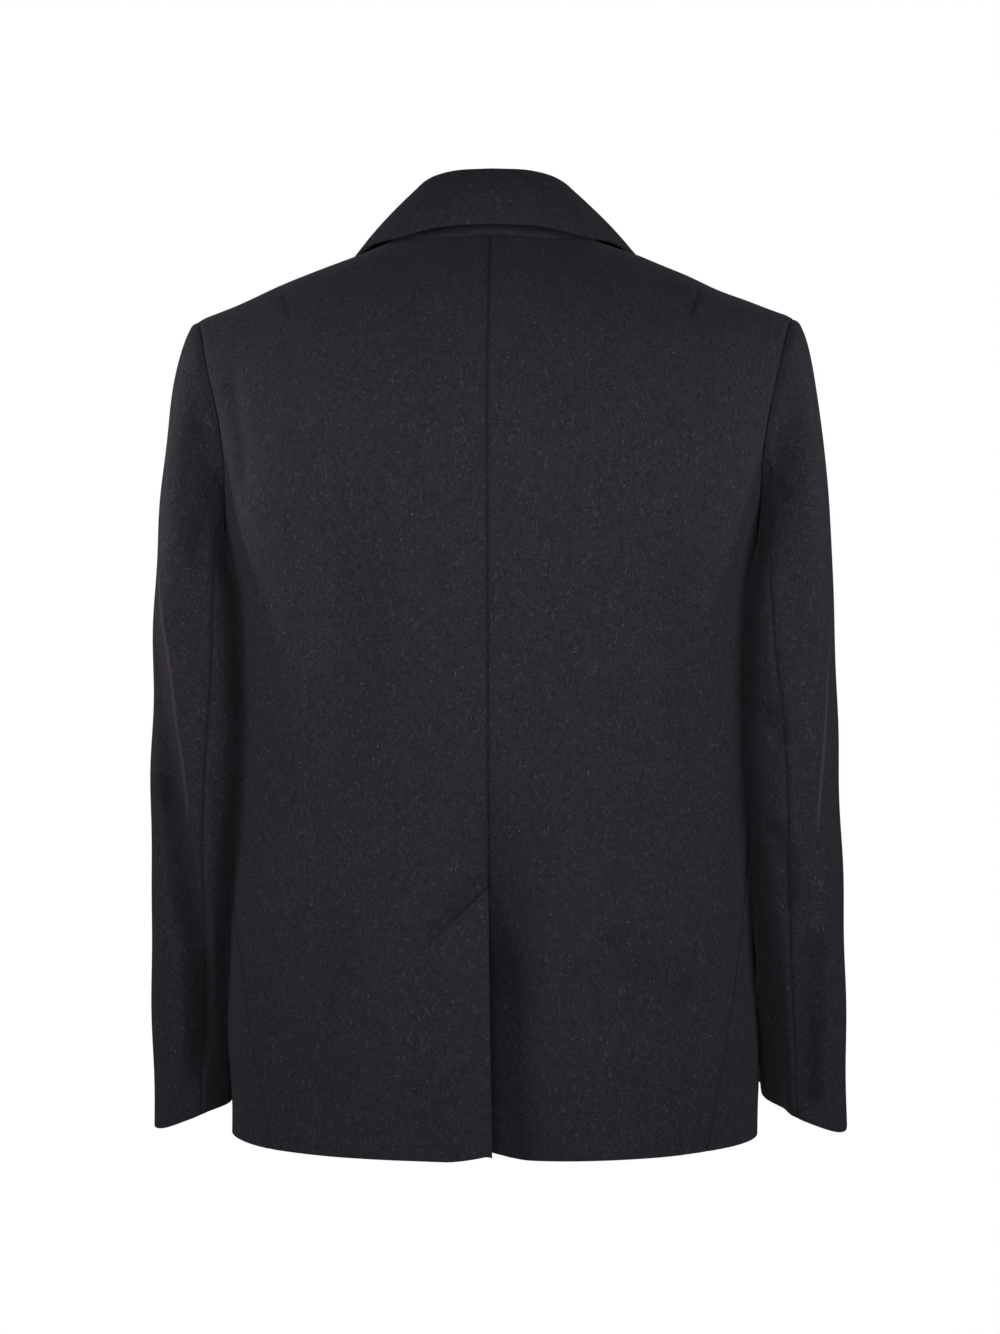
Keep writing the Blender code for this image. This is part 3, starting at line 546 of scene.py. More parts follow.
def shell(name, outer, inner, marks, material):
    """A closed wall between two grids of points, with named marks of its points for the material. A mark
    has a value for each point of the outer grid, or of both."""
    number, quads = grid_faces(outer)
    rim = np.concatenate([number[0], number[1:, -1], number[-1, -2::-1], number[-2:0:-1, 0]])
    after = np.roll(rim, -1)
    behind = number.size
    sides = np.stack([rim, rim + behind, after + behind, after], axis=-1)
    faces = np.concatenate([quads, quads[:, ::-1] + behind, sides])
    points = np.concatenate([outer.reshape(-1, 3), inner.reshape(-1, 3)])
    a, b, c, d = (points[faces[:, i]] for i in range(4))
    if np.sum(np.cross(a, b) * c + np.cross(a, c) * d) < 0:
        faces = faces[:, ::-1]
    mesh = bpy.data.meshes.new(name)
    mesh.from_pydata(points.tolist(), [], faces.tolist())
    mesh.polygons.foreach_set("use_smooth", np.ones(len(faces), bool))
    for mark, values in marks.items():
        values = np.concatenate([values.ravel(), np.zeros(behind)])[: 2 * behind].astype(np.float32)
        mesh.attributes.new(mark, "FLOAT", "POINT").data.foreach_set("value", values)
    mesh.materials.append(material)
    return linked(name, mesh)


def panel(name, points, normals, **rest):
    """A panel, drawn for the left side and set where it belongs. rest holds its lift, seams as (distance,
    depth, width, where), turned edges as (distance, where), and marks of its points for the material."""
    if name.endswith("right"):
        points, normals = mirrored(points), mirrored(normals)
    return {"points": points, "normals": normals} | rest


def sewn(name, made, lines):
    """The two faces of a panel, and its marks; the seam mark paints shade along its seams."""
    points, normals = made["points"], made["normals"]
    folds, marks = creases(name, points, lines)
    # painted shade from the troughs and from the panel's own marks
    hollow = np.maximum(marks["hollow"], made["marks"].get("hollow", 0))
    marks = marks | made["marks"] | {"hollow": hollow}
    soft = made["lift"] + unevenness(points)
    relief, seam = np.zeros_like(soft), np.zeros_like(soft)
    for distance, depth, width, where in made["seams"]:
        relief += seam_valley(distance, depth, width) * where
        # the seam mark paints shade along the seam's groove
        seam = np.maximum(seam, np.exp(-((distance / (0.9 * width)) ** 2)) * where)
    closing = np.zeros_like(soft)
    for distance, where in made["turned"]:
        closing = np.maximum(closing, turned_edge(distance, where))
    outer = points + folds + normals * (soft + relief - closing)[..., None]
    inner = points + folds + normals * (soft - CLOTH + closing)[..., None]
    if name.startswith("back"):
        outer, inner = corner_lift(outer), corner_lift(inner)
    return outer, inner, marks | {"seam": seam}


# ---- body
def fine_rows(first, second):
    """Places of a grid's rows, 0 to 1 over the first length and 1 to 2 over the second: SPACING apart, and
    closer at both ends."""
    edge = np.array(EDGE_STEPS)
    low = np.linspace(edge[-1] / first, 1, int(first / SPACING))
    high = np.linspace(1, 2 - edge[-1] / second, int(second / SPACING))
    return np.concatenate([edge[:-1] / first, low, high[1:], 2 - edge[-2::-1] / second])[:, None]


ROLL_LENGTH = SHOULDER_ROLL * math.pi / 2  # of the cloth from the armpits' level up to the shoulder seam
LEVELS = fine_rows(BACK_LENGTH - SHOULDER_ROLL, ROLL_LENGTH)


def side_edge(level, column):
    """Angle of a panel's outer edge: the side seam below the armpit, the armhole above it."""
    seam = smooth(SIDE_SEAM, "angle", level)
    return np.where(level < 1, seam, smooth(ARMHOLE, column, level))




def below_tuck(x, z):
    """How far a point of the back is below the slanting line that holds the top of the underlap."""
    slant = VENT_SLANT / UNDERLAP
    return (VENT_TOP + 0.004 - z - x * slant) / math.hypot(1, slant)


def dart(side, x, z):
    """Signed distances from the line of a dart, and how strongly it shows there."""
    top, foot = np.array(DARTS[side])
    way = foot - top
    along = ((x - top[0]) * way[0] + (z - top[1]) * way[1]) / (way @ way)
    away = ((x - top[0]) * way[1] - (z - top[1]) * way[0]) / np.linalg.norm(way)
    return away, step_up(along, -0.2, 0.1) * (1 - step_up(along, 0.7, 1.1)) * (np.abs(away) < 0.01)


def back_marks(side, x, z):
    """Marks of a half of the back: painted shade along its dart, on the left painted shade along the line of
    the underlap's top and in the shallow hollow above it, and on the right painted shade in the hollow
    beside the vent's top."""
    edge, strength = dart(side, x, z)
    if side == "right":
        # painted shade in the hollow beside the vent's top
        high, low = (step_up(-z, *heights) for heights in SHADE_HEIGHTS)
        shade = VENT_SHADE * np.clip(1 - x / SHADE_REACH, 0, 1) * high * (1 - low)
        return {"painted_line": -DART_MARK * strength, "edge": edge, "hollow": shade}
    below, lasting, low = below_tuck(x, z), step_up(-x, *TUCK_END), z < DARTS_ABOVE
    painted_line = -np.where(low, TUCK_MARK * lasting, DART_MARK * strength)
    shade = TUCK_SHADE * np.exp(-((below / TUCK_REACH) ** 2)) * (below < 0.0008) * lasting
    return {"painted_line": painted_line, "edge": np.where(low, below, edge), "hollow": shade}


def flap_lift(x, z):
    """The left half's relief: it sinks in above the vent, and its flap stands a little proud."""
    flap = VENT_LIFT * step_up(-x, -FLAP_REACH, 0.0) * step_up(-z, -VENT_TOP, BACK_LENGTH)
    sink = VENT_SINK * np.clip(1 - x / SINK_REACH, 0, 1) ** 2 * step_up(-z, *VENT_SINK_HEIGHTS)
    sink = sink * (1 - step_up(-z, -VENT_TOP, SINK_END))
    below = below_tuck(x, z)
    groove = TUCK_DEPTH * np.exp(-((below / TUCK_WIDTH) ** 2))
    step = VENT_STEP * step_up(below, *STEP_RISE)
    return flap - sink + (step - groove) * step_up(-x, *STEP_REACH)


def underlap_lift(x, z):
    """The right half's relief: it dips under the flap, in a soft hollow."""
    dip = (CLOTH + LAY_GAP) * step_up(-x, *DIP_REACH) * step_up(-z, -VENT_TOP - DIP_RISE, -VENT_TOP)
    fall = VENT_SINK * step_up(-z, *VENT_SINK_HEIGHTS) + VENT_HOLLOW * step_up(-z, *VENT_HOLLOW_HEIGHTS)
    return -dip - fall * np.clip(1 - x / HOLLOW_REACH, 0, 1) ** 2


BACK_LIFT = {"left": flap_lift, "right": underlap_lift}


def corner_lift(points):
    """The hem's corners rise a little at the vent."""
    x = points[..., 0]
    edge = np.clip(1 - np.abs(x) / VENT_CORNER_REACH, 0, 1) ** 1.5
    low = 1 - step_up(points[..., 2], -BACK_LENGTH, -BACK_LENGTH + 0.12)
    return points + np.array((0, 0, VENT_CORNER_LIFT)) * (edge * low)[..., None]


def widened(points, side):
    """Moves the flanks of one side outwards."""
    share = np.clip(points[..., 0] / body("half_width", points[..., 2]), 0, 1)
    more = smooth(FLANK, side, points[..., 2]) * share**5
    return points + more[..., None] * (1, 0, 0)


def body_grid(start, end):
    """A panel of the body between two edges, from the hem to the shoulder seam: its points and normals,
    their distances from both edges, and its turned hem."""
    angles, from_start, from_end = even_columns(form, start, end, LEVELS)
    points = form(angles, LEVELS)
    return points, outward(angles, LEVELS), from_start, from_end, (points[..., 2] - hem(angles), 1.0)


def body_seams(from_side):
    """The side seam, the armhole above it and the shoulder seam of a panel of the body."""
    high = step_up(LEVELS, 0.98, 1.02)
    armhole = high * (1 - 0.7 * step_up(LEVELS, 1.75, 1.97))
    from_top = (2 - LEVELS) * ROLL_LENGTH + 0 * from_side
    return [
        (from_side, GROOVE_DEPTH, GROOVE_WIDTH, 1 - high),
        (from_side, ARMHOLE_DEPTH, ARMHOLE_WIDTH, armhole),
        (from_top, GROOVE_DEPTH, GROOVE_WIDTH, 1.0),
    ]


def back(side):
    """A half of the back, from its centre seam and vent round to the side seam and the armhole."""
    middle = -BACK_LENGTH + LEVELS * (ridge(0) - SHOULDER_ROLL + BACK_LENGTH)
    below = np.clip(VENT_TOP - middle, 0, None)
    if side == "left":
        edge = -VENT_OVER * below / (BACK_LENGTH + VENT_TOP)
    else:
        edge = -UNDERLAP * np.clip(below / VENT_SLANT, 0, 1)
    centre = -address(edge, np.minimum(middle, ridge(0)))[0]
    points, normals, from_centre, from_side, hem_edge = body_grid(centre, side_edge(LEVELS, "back_angle"))
    x, z = points[..., 0], points[..., 2]
    seamed = step_up(z, VENT_TOP - 0.002, VENT_TOP + 0.002)
    away, strength = dart(side, x, z)
    seams = [(from_centre, GROOVE_DEPTH, GROOVE_WIDTH, seamed), *body_seams(from_side)]
    seams.append((np.abs(away), DART_DEPTH, DART_WIDTH, strength))
    return panel(f"back_{side}", widened(points, side), normals, lift=BACK_LIFT[side](x, z), seams=seams,
                 turned=[hem_edge, (from_centre, 1 - seamed)], marks=back_marks(side, x, z))


def front_edge(level):
    """Angle of a front's free edge: up the overlap, along the roll line, then round the neck."""
    t = np.linspace(0, 1, EDGE_POINTS)
    x = [np.full(EDGE_POINTS, -FRONT_EDGE), mix(-FRONT_EDGE, GORGE[0], t), mix(GORGE[0], NECK_HALF, t)]
    z = [mix(-BACK_LENGTH, BREAK_HEIGHT, t), mix(BREAK_HEIGHT, GORGE[1], t), mix(GORGE[1], 0.0, t)]
    angles, levels = address(np.concatenate(x), np.concatenate(z))
    return np.interp(level, levels, angles)


def overlap_lift(x, z):
    """How far the left front rides over the right one, and over the right lapel."""
    across = 1 - step_up(x, 0.083, 0.150)
    over_front = (CLOTH + LAY_GAP) * (1 - step_up(z, -0.13, -0.05))
    over_lapel = (LAPEL_GAP + LAYERS) * step_up(z, -0.40, -0.316) * (1 - step_up(z, -0.13, -0.05))
    return across * (over_front + over_lapel)


FRONT_LIFT = {"left": overlap_lift, "right": lambda x, z: 0.0 * x}


def front(side):
    """A front, from the side seam and the armhole round to its free edge."""
    start = side_edge(LEVELS, "front_angle")
    points, normals, from_side, from_edge, hem_edge = body_grid(start, front_edge(LEVELS))
    x, z = points[..., 0], points[..., 2]
    free_edge = (from_edge, 1 - step_up(z, BREAK_HEIGHT, BREAK_HEIGHT + 0.02))
    return panel(f"front_{side}", widened(points, side), normals, lift=FRONT_LIFT[side](x, z),
                 seams=body_seams(from_side), turned=[hem_edge, free_edge], marks={})


# ---- lapels and collar
def half_thickness(distance):
    """Half of the thickness of lapel and collar, rounded off at a turned edge."""
    near = np.clip(1 - distance / EDGE_ROUND, 0, 0.98)
    return LAYERS / 2 * np.sqrt(1 - near**2)


def rolled(start, path, turns, side, face, half):
    """Points of a section that rolls round a front's edge at start and lies on the front along path."""
    radius = FOLD_RADIUS + face * LAYERS / 2
    out = unit(path[0] - start)
    lift = FRONT_LIFT[side]
    turns = np.radians(turns)
    away = radius * np.cos(turns) - FOLD_BACK
    x, z = start[0] + away * out[0], start[1] + away * out[1]
    edge = lift(start[0], start[1]) - FOLD_RADIUS + LAPEL_GAP + LAYERS / 2
    fold = front_surface(x, z, edge + radius * np.sin(turns))
    leaf_out = lift(path[:, 0], path[:, 1]) + LAPEL_GAP + LAYERS / 2 + face * half
    return np.concatenate([fold, front_surface(path[:, 0], path[:, 1], leaf_out)])


def gorge_side():
    """Unit vector across the gorge seam, towards the collar, in x and height."""
    run = unit(np.array(NOTCH) - np.array(GORGE))
    return np.array((-run[1], run[0]))


def notch_bend(start, end, shares, notch_share):
    """Bends the straight line from start to end so that it passes through the notch."""
    bend = np.array(NOTCH) - mix(start, end, notch_share)
    hat = np.minimum(shares / notch_share, (1 - shares) / (1 - notch_share))
    return hat[:, None] * bend


def leaf_shares(length, count):
    """Shares of a leaf's way from its fold to its edge, closer at the edge."""
    fine = 1 - np.array(EDGE_STEPS)[::-1] / length
    return np.concatenate([np.linspace(LEAF_START, fine[0], count), fine[1:]])


def lapel(side):
    """A lapel, turned back from the roll line over its front."""
    rows = np.concatenate([np.linspace(0, 0.99, 80), (0.993, 0.996, 0.998, 1.0)])
    turns = np.linspace(*ROLL_TURNS, 9)
    starts, paths = [], []
    for s in rows:
        start = mix(np.array((-FRONT_EDGE, BREAK_HEIGHT)), np.array(GORGE), s)
        end = np.array([smooth(LAPEL, c, s) for c in ("edge_x", "edge_z")])
        shares = leaf_shares(max(np.linalg.norm(end - start), 0.02), 44)
        path = mix(start, end, shares[:, None]) + s**8 * notch_bend(start, end, shares, LAPEL_NOTCH_SHARE)
        gap = s**8 * GORGE_GAP * gorge_side()
        starts.append(start - gap)
        paths.append(path - gap)
    paths = np.array(paths)
    from_edge = np.linalg.norm(paths - paths[:, -1:], axis=-1)
    from_top = np.linalg.norm(paths - paths[-1:], axis=-1)
    half = half_thickness(np.minimum(from_edge, from_top))
    faces = []
    for face in (1, -1):
        grid = [rolled(start, path, turns, side, face, h) for start, path, h in zip(starts, paths, half)]
        faces.append(np.array(grid))
    return (*faces, {})


def neckline():
    """The seam from the centre back round the neck point to the gorge: points, normals and how far along."""
    turn = -float(address(NECK_HALF, 0.0)[0])
    back_angles = mix(90.0, turn, 0.5 - 0.5 * np.cos(np.linspace(0, math.pi, NECK_POINTS)))
    front_levels = np.linspace(SEAM_LEVEL, float(address(*GORGE)[1]), NECK_POINTS)[1:]
    angles = np.concatenate([back_angles, front_edge(front_levels)])
    levels = np.concatenate([np.full(NECK_POINTS, SEAM_LEVEL), front_levels])
    points, normals = form(angles, levels), outward(angles, levels)
    run = run_along(points, 0)
    half = run[NECK_POINTS - 1]
    along = np.where(run <= half, 0.5 * run / half, 0.5 + 0.5 * (run - half) / (run[-1] - half))
    tangent = unit(np.gradient(points, run, axis=0))
    tangent[0] = (1, 0, 0)
    return points, normals, unit(np.cross(tangent, normals)), along


def collar():
    """Stand and fall in one piece, from its right front end round the neck to the left one."""
    seam, normals, into_neck, along = neckline()
    fold, edge = (
        np.stack([smooth(COLLAR, f"{part}_{c}", along) for c in "xyz"], axis=-1)
        for part in ("fold", "edge")
    )
    foot = seam + into_neck * COLLAR_SEAM_GAP - normals * CLOTH / 2
    up = unit(unit(fold - foot) + unit(fold - edge))
    across = edge - foot
    across = unit(across - up * np.sum(across * up, axis=-1, keepdims=True))
    centre = fold - up * FOLD_RADIUS
    turns = np.linspace(0, math.pi, 13)
    arc = [centre + FOLD_RADIUS * (math.sin(t) * up - math.cos(t) * across) for t in turns]
    stand = [mix(foot, arc[0], share) for share in np.linspace(0, 0.93, 12)]
    belly = unit(across + 0.3 * up) * COLLAR_BELLY
    shares = leaf_shares(0.05, 20)
    leaf = [mix(arc[-1], edge, share) + belly * 4 * share * (1 - share) for share in shares]
    middle = np.stack(stand + arc + leaf, axis=1)
    thick = unit(np.cross(np.gradient(middle, axis=1), np.gradient(middle, along, axis=0)))
    thick *= np.sign(np.sum(thick[0, -1] * across[0]))
    half = half_thickness(np.linalg.norm(middle - middle[:, -1:], axis=-1))
    half[:, : len(stand)] = LAYERS / 2
    turned = np.linspace(*ROLL_TURNS, len(stand) + len(arc))
    faces = []
    for face in (1, -1):
        free = middle + face * thick * half[..., None]
        free[:, 0] = foot - face * normals * LAYERS / 2
        free[0, :, 0] = 0
        halves = []
        for side in ("right", "left"):
            lying = free.copy()
            for i in np.flatnonzero(along > COLLAR_LIES[0]):
                share = (along[i] - COLLAR_LIES[0]) / (COLLAR_LIES[1] - COLLAR_LIES[0])
                start, end = seam[i][[0, 2]], edge[i][[0, 2]]
                path = mix(start, end, shares[:, None])
                path = path + share**6 * notch_bend(start, end, shares, COLLAR_NOTCH_SHARE)
                gap = share**6 * GORGE_GAP * gorge_side()
                lying[i] = rolled(start + gap, path + gap, turned, side, face, half[i, -len(shares) :])
            weight = step_up(along, *COLLAR_LIES)[:, None, None]
            halves.append(mix(free, lying, weight))
        faces.append(np.concatenate([mirrored(halves[0][:0:-1]), halves[1]]))
    # painted shade on the collar's under face, which lies under the fall
    shade = np.zeros((2, *faces[0].shape[:2]))
    shade[1] = step_up(run_along(faces[1], 1), *COLLAR_SHADE)  # under the fall
    return (*faces, {"hollow": shade})


# ---- sleeves
def armhole():
    """The armhole's edge as a loop from the shoulder tip down the back and up the front."""
    levels = np.concatenate([np.linspace(1, 1.12, 25), np.linspace(1.13, SEAM_LEVEL, 90)])
    down, up = levels[::-1], levels[1:]
    angles = [[side_edge(2.0, "back_angle")], side_edge(down, "back_angle"), side_edge(up, "front_angle")]
    angles = np.concatenate([*angles, [side_edge(2.0, "front_angle")]])
    pit = len(levels)
    levels = np.concatenate([[2.0], down, up, [2.0]])
    points, normals = form(angles, levels), outward(angles, levels)
    normals[[0, -1]] = unit(normals[0] + normals[-1])
    points[-1] = points[0]
    run = run_along(points, 0)
    down_turn, up_turn = 180 * run / run[pit], 180 + 180 * (run - run[pit]) / (run[-1] - run[pit])
    turn = np.where(run <= run[pit], down_turn, up_turn)
    loop = np.concatenate([points[-4:-1], points, points[1:4]])
    tangent = unit(loop[6:] - loop[:-6])
    away = unit(np.cross(tangent, normals))
    middle = points.mean(axis=0)
    away *= np.sign(np.sum(away * (middle - points), axis=-1, keepdims=True))
    return turn, points, normals, away


ARMHOLE_TURN, ARMHOLE_POINTS, ARMHOLE_NORMALS, ARMHOLE_AWAY = armhole()


def round_armhole(values, turn):
    return np.stack([np.interp(turn % 360, ARMHOLE_TURN, values[:, i]) for i in range(3)], axis=-1)


def cap_size(column, turn):
    """A value of the cap's table all round the armhole."""
    names, *rows = CAP
    top, side, pit = (row[names.index(column)] for row in rows)
    cosine = np.cos(np.radians(turn))
    return (side + (top - pit) / 2 * cosine + ((top + pit) / 2 - side) * cosine**2)[..., None]


def arm(turn, down, swing):
    """Points of the sleeve from the upper arm (down 0) to the cuff (1)."""
    height = mix(ARM_TOP, CUFF, down)
    outer, inner, hind, fore = (smooth(SLEEVE, c, height) for c in SLEEVE[0][1:])
    across, deep = squared(turn, SLEEVE_SQUARENESS)
    x = (outer + inner) / 2 + (outer - inner) / 2 * across
    y = (hind + fore) / 2 + (hind - fore) / 2 * deep
    cuff = CUFF_DROP + CUFF_RISE_IN * (outer - x) + CUFF_RISE_FRONT * (hind - y)
    z = mix(height - SLEEVE_TILT * np.cos(np.radians(turn)), cuff, down**1.5)
    z = mix(z, height + cuff - CUFF, down)
    beyond = np.maximum(np.abs(y) - HUG_START, 0) / HUG_REACH
    inward = np.maximum(-across - HUG_SIDE, 0) / (1 - HUG_SIDE)
    hug = SLEEVE_HUG * np.minimum(0.4 + 3 * down, 1) * beyond**2 * inward
    return np.stack([x - hug + swing * down**1.5, y, z], axis=-1)


def sleeve_form(turn, along, side):
    """The sleeve's figure: along is 0 at the armhole, 1 at the upper arm and 2 at the cuff."""
    turn, along = np.broadcast_arrays(turn, along)
    swing = SLEEVE_SWING[side]
    away = round_armhole(ARMHOLE_AWAY, turn)
    start = widened(round_armhole(ARMHOLE_POINTS, turn), side)
    lean = CAP_LEAN * (1 + np.cos(np.radians(turn))) / 2
    sideways = unit(np.stack([np.ones_like(lean), 0 * lean, lean], axis=-1))
    direction = unit(CAP_AWAY * away + CAP_SIDEWAYS * sideways)
    end = arm(turn, np.zeros_like(turn), swing)
    falling = unit(arm(turn, np.full_like(turn, 0.03), swing) - end)
    first = start + direction * cap_size("out", turn)
    second = end - falling * cap_size("down", turn)
    s = np.clip(along, 0, 1)[..., None]
    cap = (1 - s) ** 3 * start + 3 * s * (1 - s) ** 2 * first + 3 * s**2 * (1 - s) * second + s**3 * end
    return np.where(along[..., None] < 1, cap, arm(turn, np.clip(along - 1, 0, 1), swing))


SLEEVE_ROWS = fine_rows(CAP_LENGTH, ARM_LENGTH)


def search_tree(grids):
    faces, first = [], 0
    for grid in grids:
        number, quads = grid_faces(grid, first)
        faces += quads.tolist()
        first += number.size
    return BVHTree.FromPolygons(np.concatenate([grid.reshape(-1, 3) for grid in grids]).tolist(), faces)


def resting(points, normals, body, free):
    """Lets the inner side of a sleeve lie against the body where it hangs close to it, without entering it.
    free grows from 0 at the armhole to 1. Also returns how close each point is, from 0 to 1."""
    flat, free = points.reshape(-1, 3).copy(), np.broadcast_to(free, points.shape[:2]).ravel()
    facing, close = normals.reshape(-1, 3), np.zeros(len(flat))
    for i, point in enumerate(flat.tolist()):
        spot, normal, _, away = body.find_nearest(Vector(point), REST_REACH)
        if spot is None:
            continue
        normal = np.array(normal if normal.x > 0 else -normal)
        away = float((flat[i] - spot) @ normal)
        close[i] = (1 - float(step_up(away, REST_FULL, REST_REACH))) * free[i]
        flat[i] += normal * (REST_GAP - away) * close[i] * float(step_up(-facing[i] @ normal, *REST_SQUARE))
    return flat.reshape(points.shape), close.reshape(points.shape[:2])


def sleeve(side, part, body):
    """One half of a sleeve, drawn for the left side. body is the search tree of that side's panels."""
    hind = smooth(HIND_SEAM, side, SLEEVE_ROWS)
    fore = np.full_like(hind, FORE_SEAM)
    start, end = (fore - 360, hind) if part == "top" else (hind, fore)

    def surface(turn, along):
        return sleeve_form(turn, along, side)

    turn, from_start, from_end = even_columns(surface, start, end, SLEEVE_ROWS)
    around = surface(turn + 1.5, SLEEVE_ROWS) - surface(turn - 1.5, SLEEVE_ROWS)  # degrees
    lower, upper = np.minimum(SLEEVE_ROWS + 0.01, 2), np.maximum(SLEEVE_ROWS - 0.01, 0)
    normals = unit(np.cross(surface(turn, lower) - surface(turn, upper), around))
    blend = step_up(SLEEVE_ROWS, 0, 0.03)[..., None]
    normals = unit(mix(round_armhole(ARMHOLE_NORMALS, turn), normals, blend))
    points, close = resting(surface(turn, SLEEVE_ROWS), normals, body, step_up(SLEEVE_ROWS, 0.0, 0.3))
    inwards = step_up(turn, *(hind + after for after in TURNED_IN_START))
    inwards = inwards * (1 - step_up(turn, *TURNED_IN_END))
    inwards = inwards * step_up(SLEEVE_ROWS, *TURNED_IN_DOWN)
    points = points - inwards[..., None] * (0, TURNED_IN, 0)
    down = run_along(points, 0)
    seams = [
        (from_start, GROOVE_DEPTH, GROOVE_WIDTH, 1.0),
        (from_end, GROOVE_DEPTH, GROOVE_WIDTH, 1.0),
        (down, ARMHOLE_DEPTH * 0.4, ARMHOLE_WIDTH, 1.0),
    ]
    # painted shade on the under sleeve where it hangs close to the body
    marks = {"hollow": SLEEVE_SHADE * close} if part == "under" else {}
    return panel(f"sleeve_{part}_{side}", points, normals, lift=0.0 * turn, seams=seams,
                 turned=[(down[-1:] - down, 1.0)], marks=marks)


# ---- buttons and their sewing
BUTTON_PROFILE = (  # radius, height over the cloth: the disc's turned section, from below to its dished face
    (0.0000, 0.0024), (0.0098, 0.0024), (0.0118, 0.0026), (0.0131, 0.0031), (0.0138, 0.0038),
    (0.0140, 0.0046), (0.0137, 0.0054), (0.0130, 0.0060), (0.0121, 0.0062), (0.0113, 0.0061),
    (0.0105, 0.0057), (0.0097, 0.0053), (0.0085, 0.0050), (0.0060, 0.0048), (0.0000, 0.0047),
)
BUTTON_SIDES = 48
HOLE_RADIUS, HOLE_PLACE = 0.0011, 0.0023
THREAD_RADIUS, THREAD_SHIFT, THREAD_HEIGHT = 0.00030, 0.00055, 0.0049
SHANK_THREADS, SHANK_RADIUS, SHANK_SPLAY, SHANK_HEIGHT = 12, 0.0021, 1.25, 0.0026
STRAND = ((0.0, 0.45), (0.12, 0.85), (0.5, 1.0), (0.88, 0.85), (1.0, 0.45))  # share of its way, thickness
BUTTONHOLE = (-0.0575, -0.0270)  # from the right column's shanks inwards
STITCH_STEP, STITCH_REACH = 0.00085, 0.0017


def lathe(profile, sides):
    """A closed turned body round the Z axis."""
    made = bmesh.new()
    turn = [math.tau * i / sides for i in range(sides)]
    rings = []
    for radius, height in profile[1:-1]:
        rings.append([made.verts.new((radius * math.cos(t), radius * math.sin(t), height)) for t in turn])
    foot, top = made.verts.new((0, 0, profile[0][1])), made.verts.new((0, 0, profile[-1][1]))
    for i in range(sides):
        j = (i + 1) % sides
        made.faces.new((foot, rings[0][j], rings[0][i]))
        made.faces.new((top, rings[-1][i], rings[-1][j]))
        for lower, upper in zip(rings, rings[1:]):
            made.faces.new((lower[i], lower[j], upper[j], upper[i]))
    return made


def add_object(name, made, material, smooth_faces=True):
    mesh = bpy.data.meshes.new(name)
    made.to_mesh(mesh)
    made.free()
    mesh.polygons.foreach_set("use_smooth", [smooth_faces] * len(mesh.polygons))
    mesh.materials.append(material)
    return linked(name, mesh)


def disc_with_holes(material):
    """The button at the origin, with four sewing holes cut through it."""
    disc = add_object("disc", lathe(BUTTON_PROFILE, BUTTON_SIDES), material)
    holes = bmesh.new()
    for x in (-HOLE_PLACE, HOLE_PLACE):
        for y in (-HOLE_PLACE, HOLE_PLACE):
            bmesh.ops.create_cone(
                holes, cap_ends=True, segments=16, radius1=HOLE_RADIUS, radius2=HOLE_RADIUS, depth=0.012,
                matrix=Matrix.Translation((x, y, 0.0045)),
            )
    cutter = add_object("cutter", holes, material)
    cut = disc.modifiers.new("holes", "BOOLEAN")
    cut.object, cut.operation, cut.solver = cutter, "DIFFERENCE", "EXACT"
    bpy.context.view_layer.update()
    mesh = bpy.data.meshes.new_from_object(disc.evaluated_get(bpy.context.evaluated_depsgraph_get()))
    for thing in (disc, cutter):
        bpy.data.objects.remove(thing, do_unlink=True)
    mesh.set_sharp_from_angle(angle=math.radians(40))
    return mesh


def strands(name, ends, radius, material, sides=6):
    """Short threads, each from one point to another, as one object."""
    made = bmesh.new()
    for start, end in ends:
        start, end = Vector(start), Vector(end)
        turn = (end - start).to_track_quat("Z", "Y").to_matrix()
        rings = []
        for share, size in STRAND:
            ring = []
            for i in range(sides):
                angle = math.tau * i / sides
                spoke = turn @ Vector((math.cos(angle), math.sin(angle), 0)) * radius * size
                ring.append(made.verts.new(start.lerp(end, share) + spoke))
            rings.append(ring)
        made.faces.new(rings[0][::-1])
        made.faces.new(rings[-1])
        for lower, upper in zip(rings, rings[1:]):
            for i in range(sides):
                j = (i + 1) % sides
                made.faces.new((lower[i], lower[j], upper[j], upper[i]))
    return add_object(name, made, material)


def sewing():
    """Ends of the threads that hold a button at the origin: over its face, and round its shank."""
    ends = []
    for x in (-HOLE_PLACE, HOLE_PLACE):
        for shift in (-THREAD_SHIFT, 0.0, THREAD_SHIFT):
            ends.append(((x + shift, -HOLE_PLACE, THREAD_HEIGHT), (x + shift, HOLE_PLACE, THREAD_HEIGHT)))
    for i in range(SHANK_THREADS):
        angle = math.tau * i / SHANK_THREADS
        spot = (SHANK_RADIUS * math.cos(angle), SHANK_RADIUS * math.sin(angle))
        ends.append(((*spot, 0.0), (spot[0] * SHANK_SPLAY, spot[1] * SHANK_SPLAY, SHANK_HEIGHT)))
    return ends


class Cloth:
    """The face of the left front, to place things on."""

    def __init__(self, piece):
        mesh = piece.data
        faces = [face.vertices[:] for face in mesh.polygons]
        self.tree = BVHTree.FromPolygons([vertex.co[:] for vertex in mesh.vertices], faces)

    def at(self, x, z, out=0.0):
        spot, normal, *_ = self.tree.ray_cast(Vector((x, -1.0, z)), Vector((0, 1, 0)))
        return spot + normal * out if normal.y < 0 else spot - normal * out

    def square(self, x, z):
        """A placement with its Z axis square to the cloth."""
        across = self.at(x + 0.008, z) - self.at(x - 0.008, z)
        up = self.at(x, z + 0.008) - self.at(x, z - 0.008)
        normal = across.cross(up).normalized()
        normal = -normal if normal.y > 0 else normal
        return Matrix.Translation(self.at(x, z)) @ normal.to_track_quat("Z", "Y").to_matrix().to_4x4()


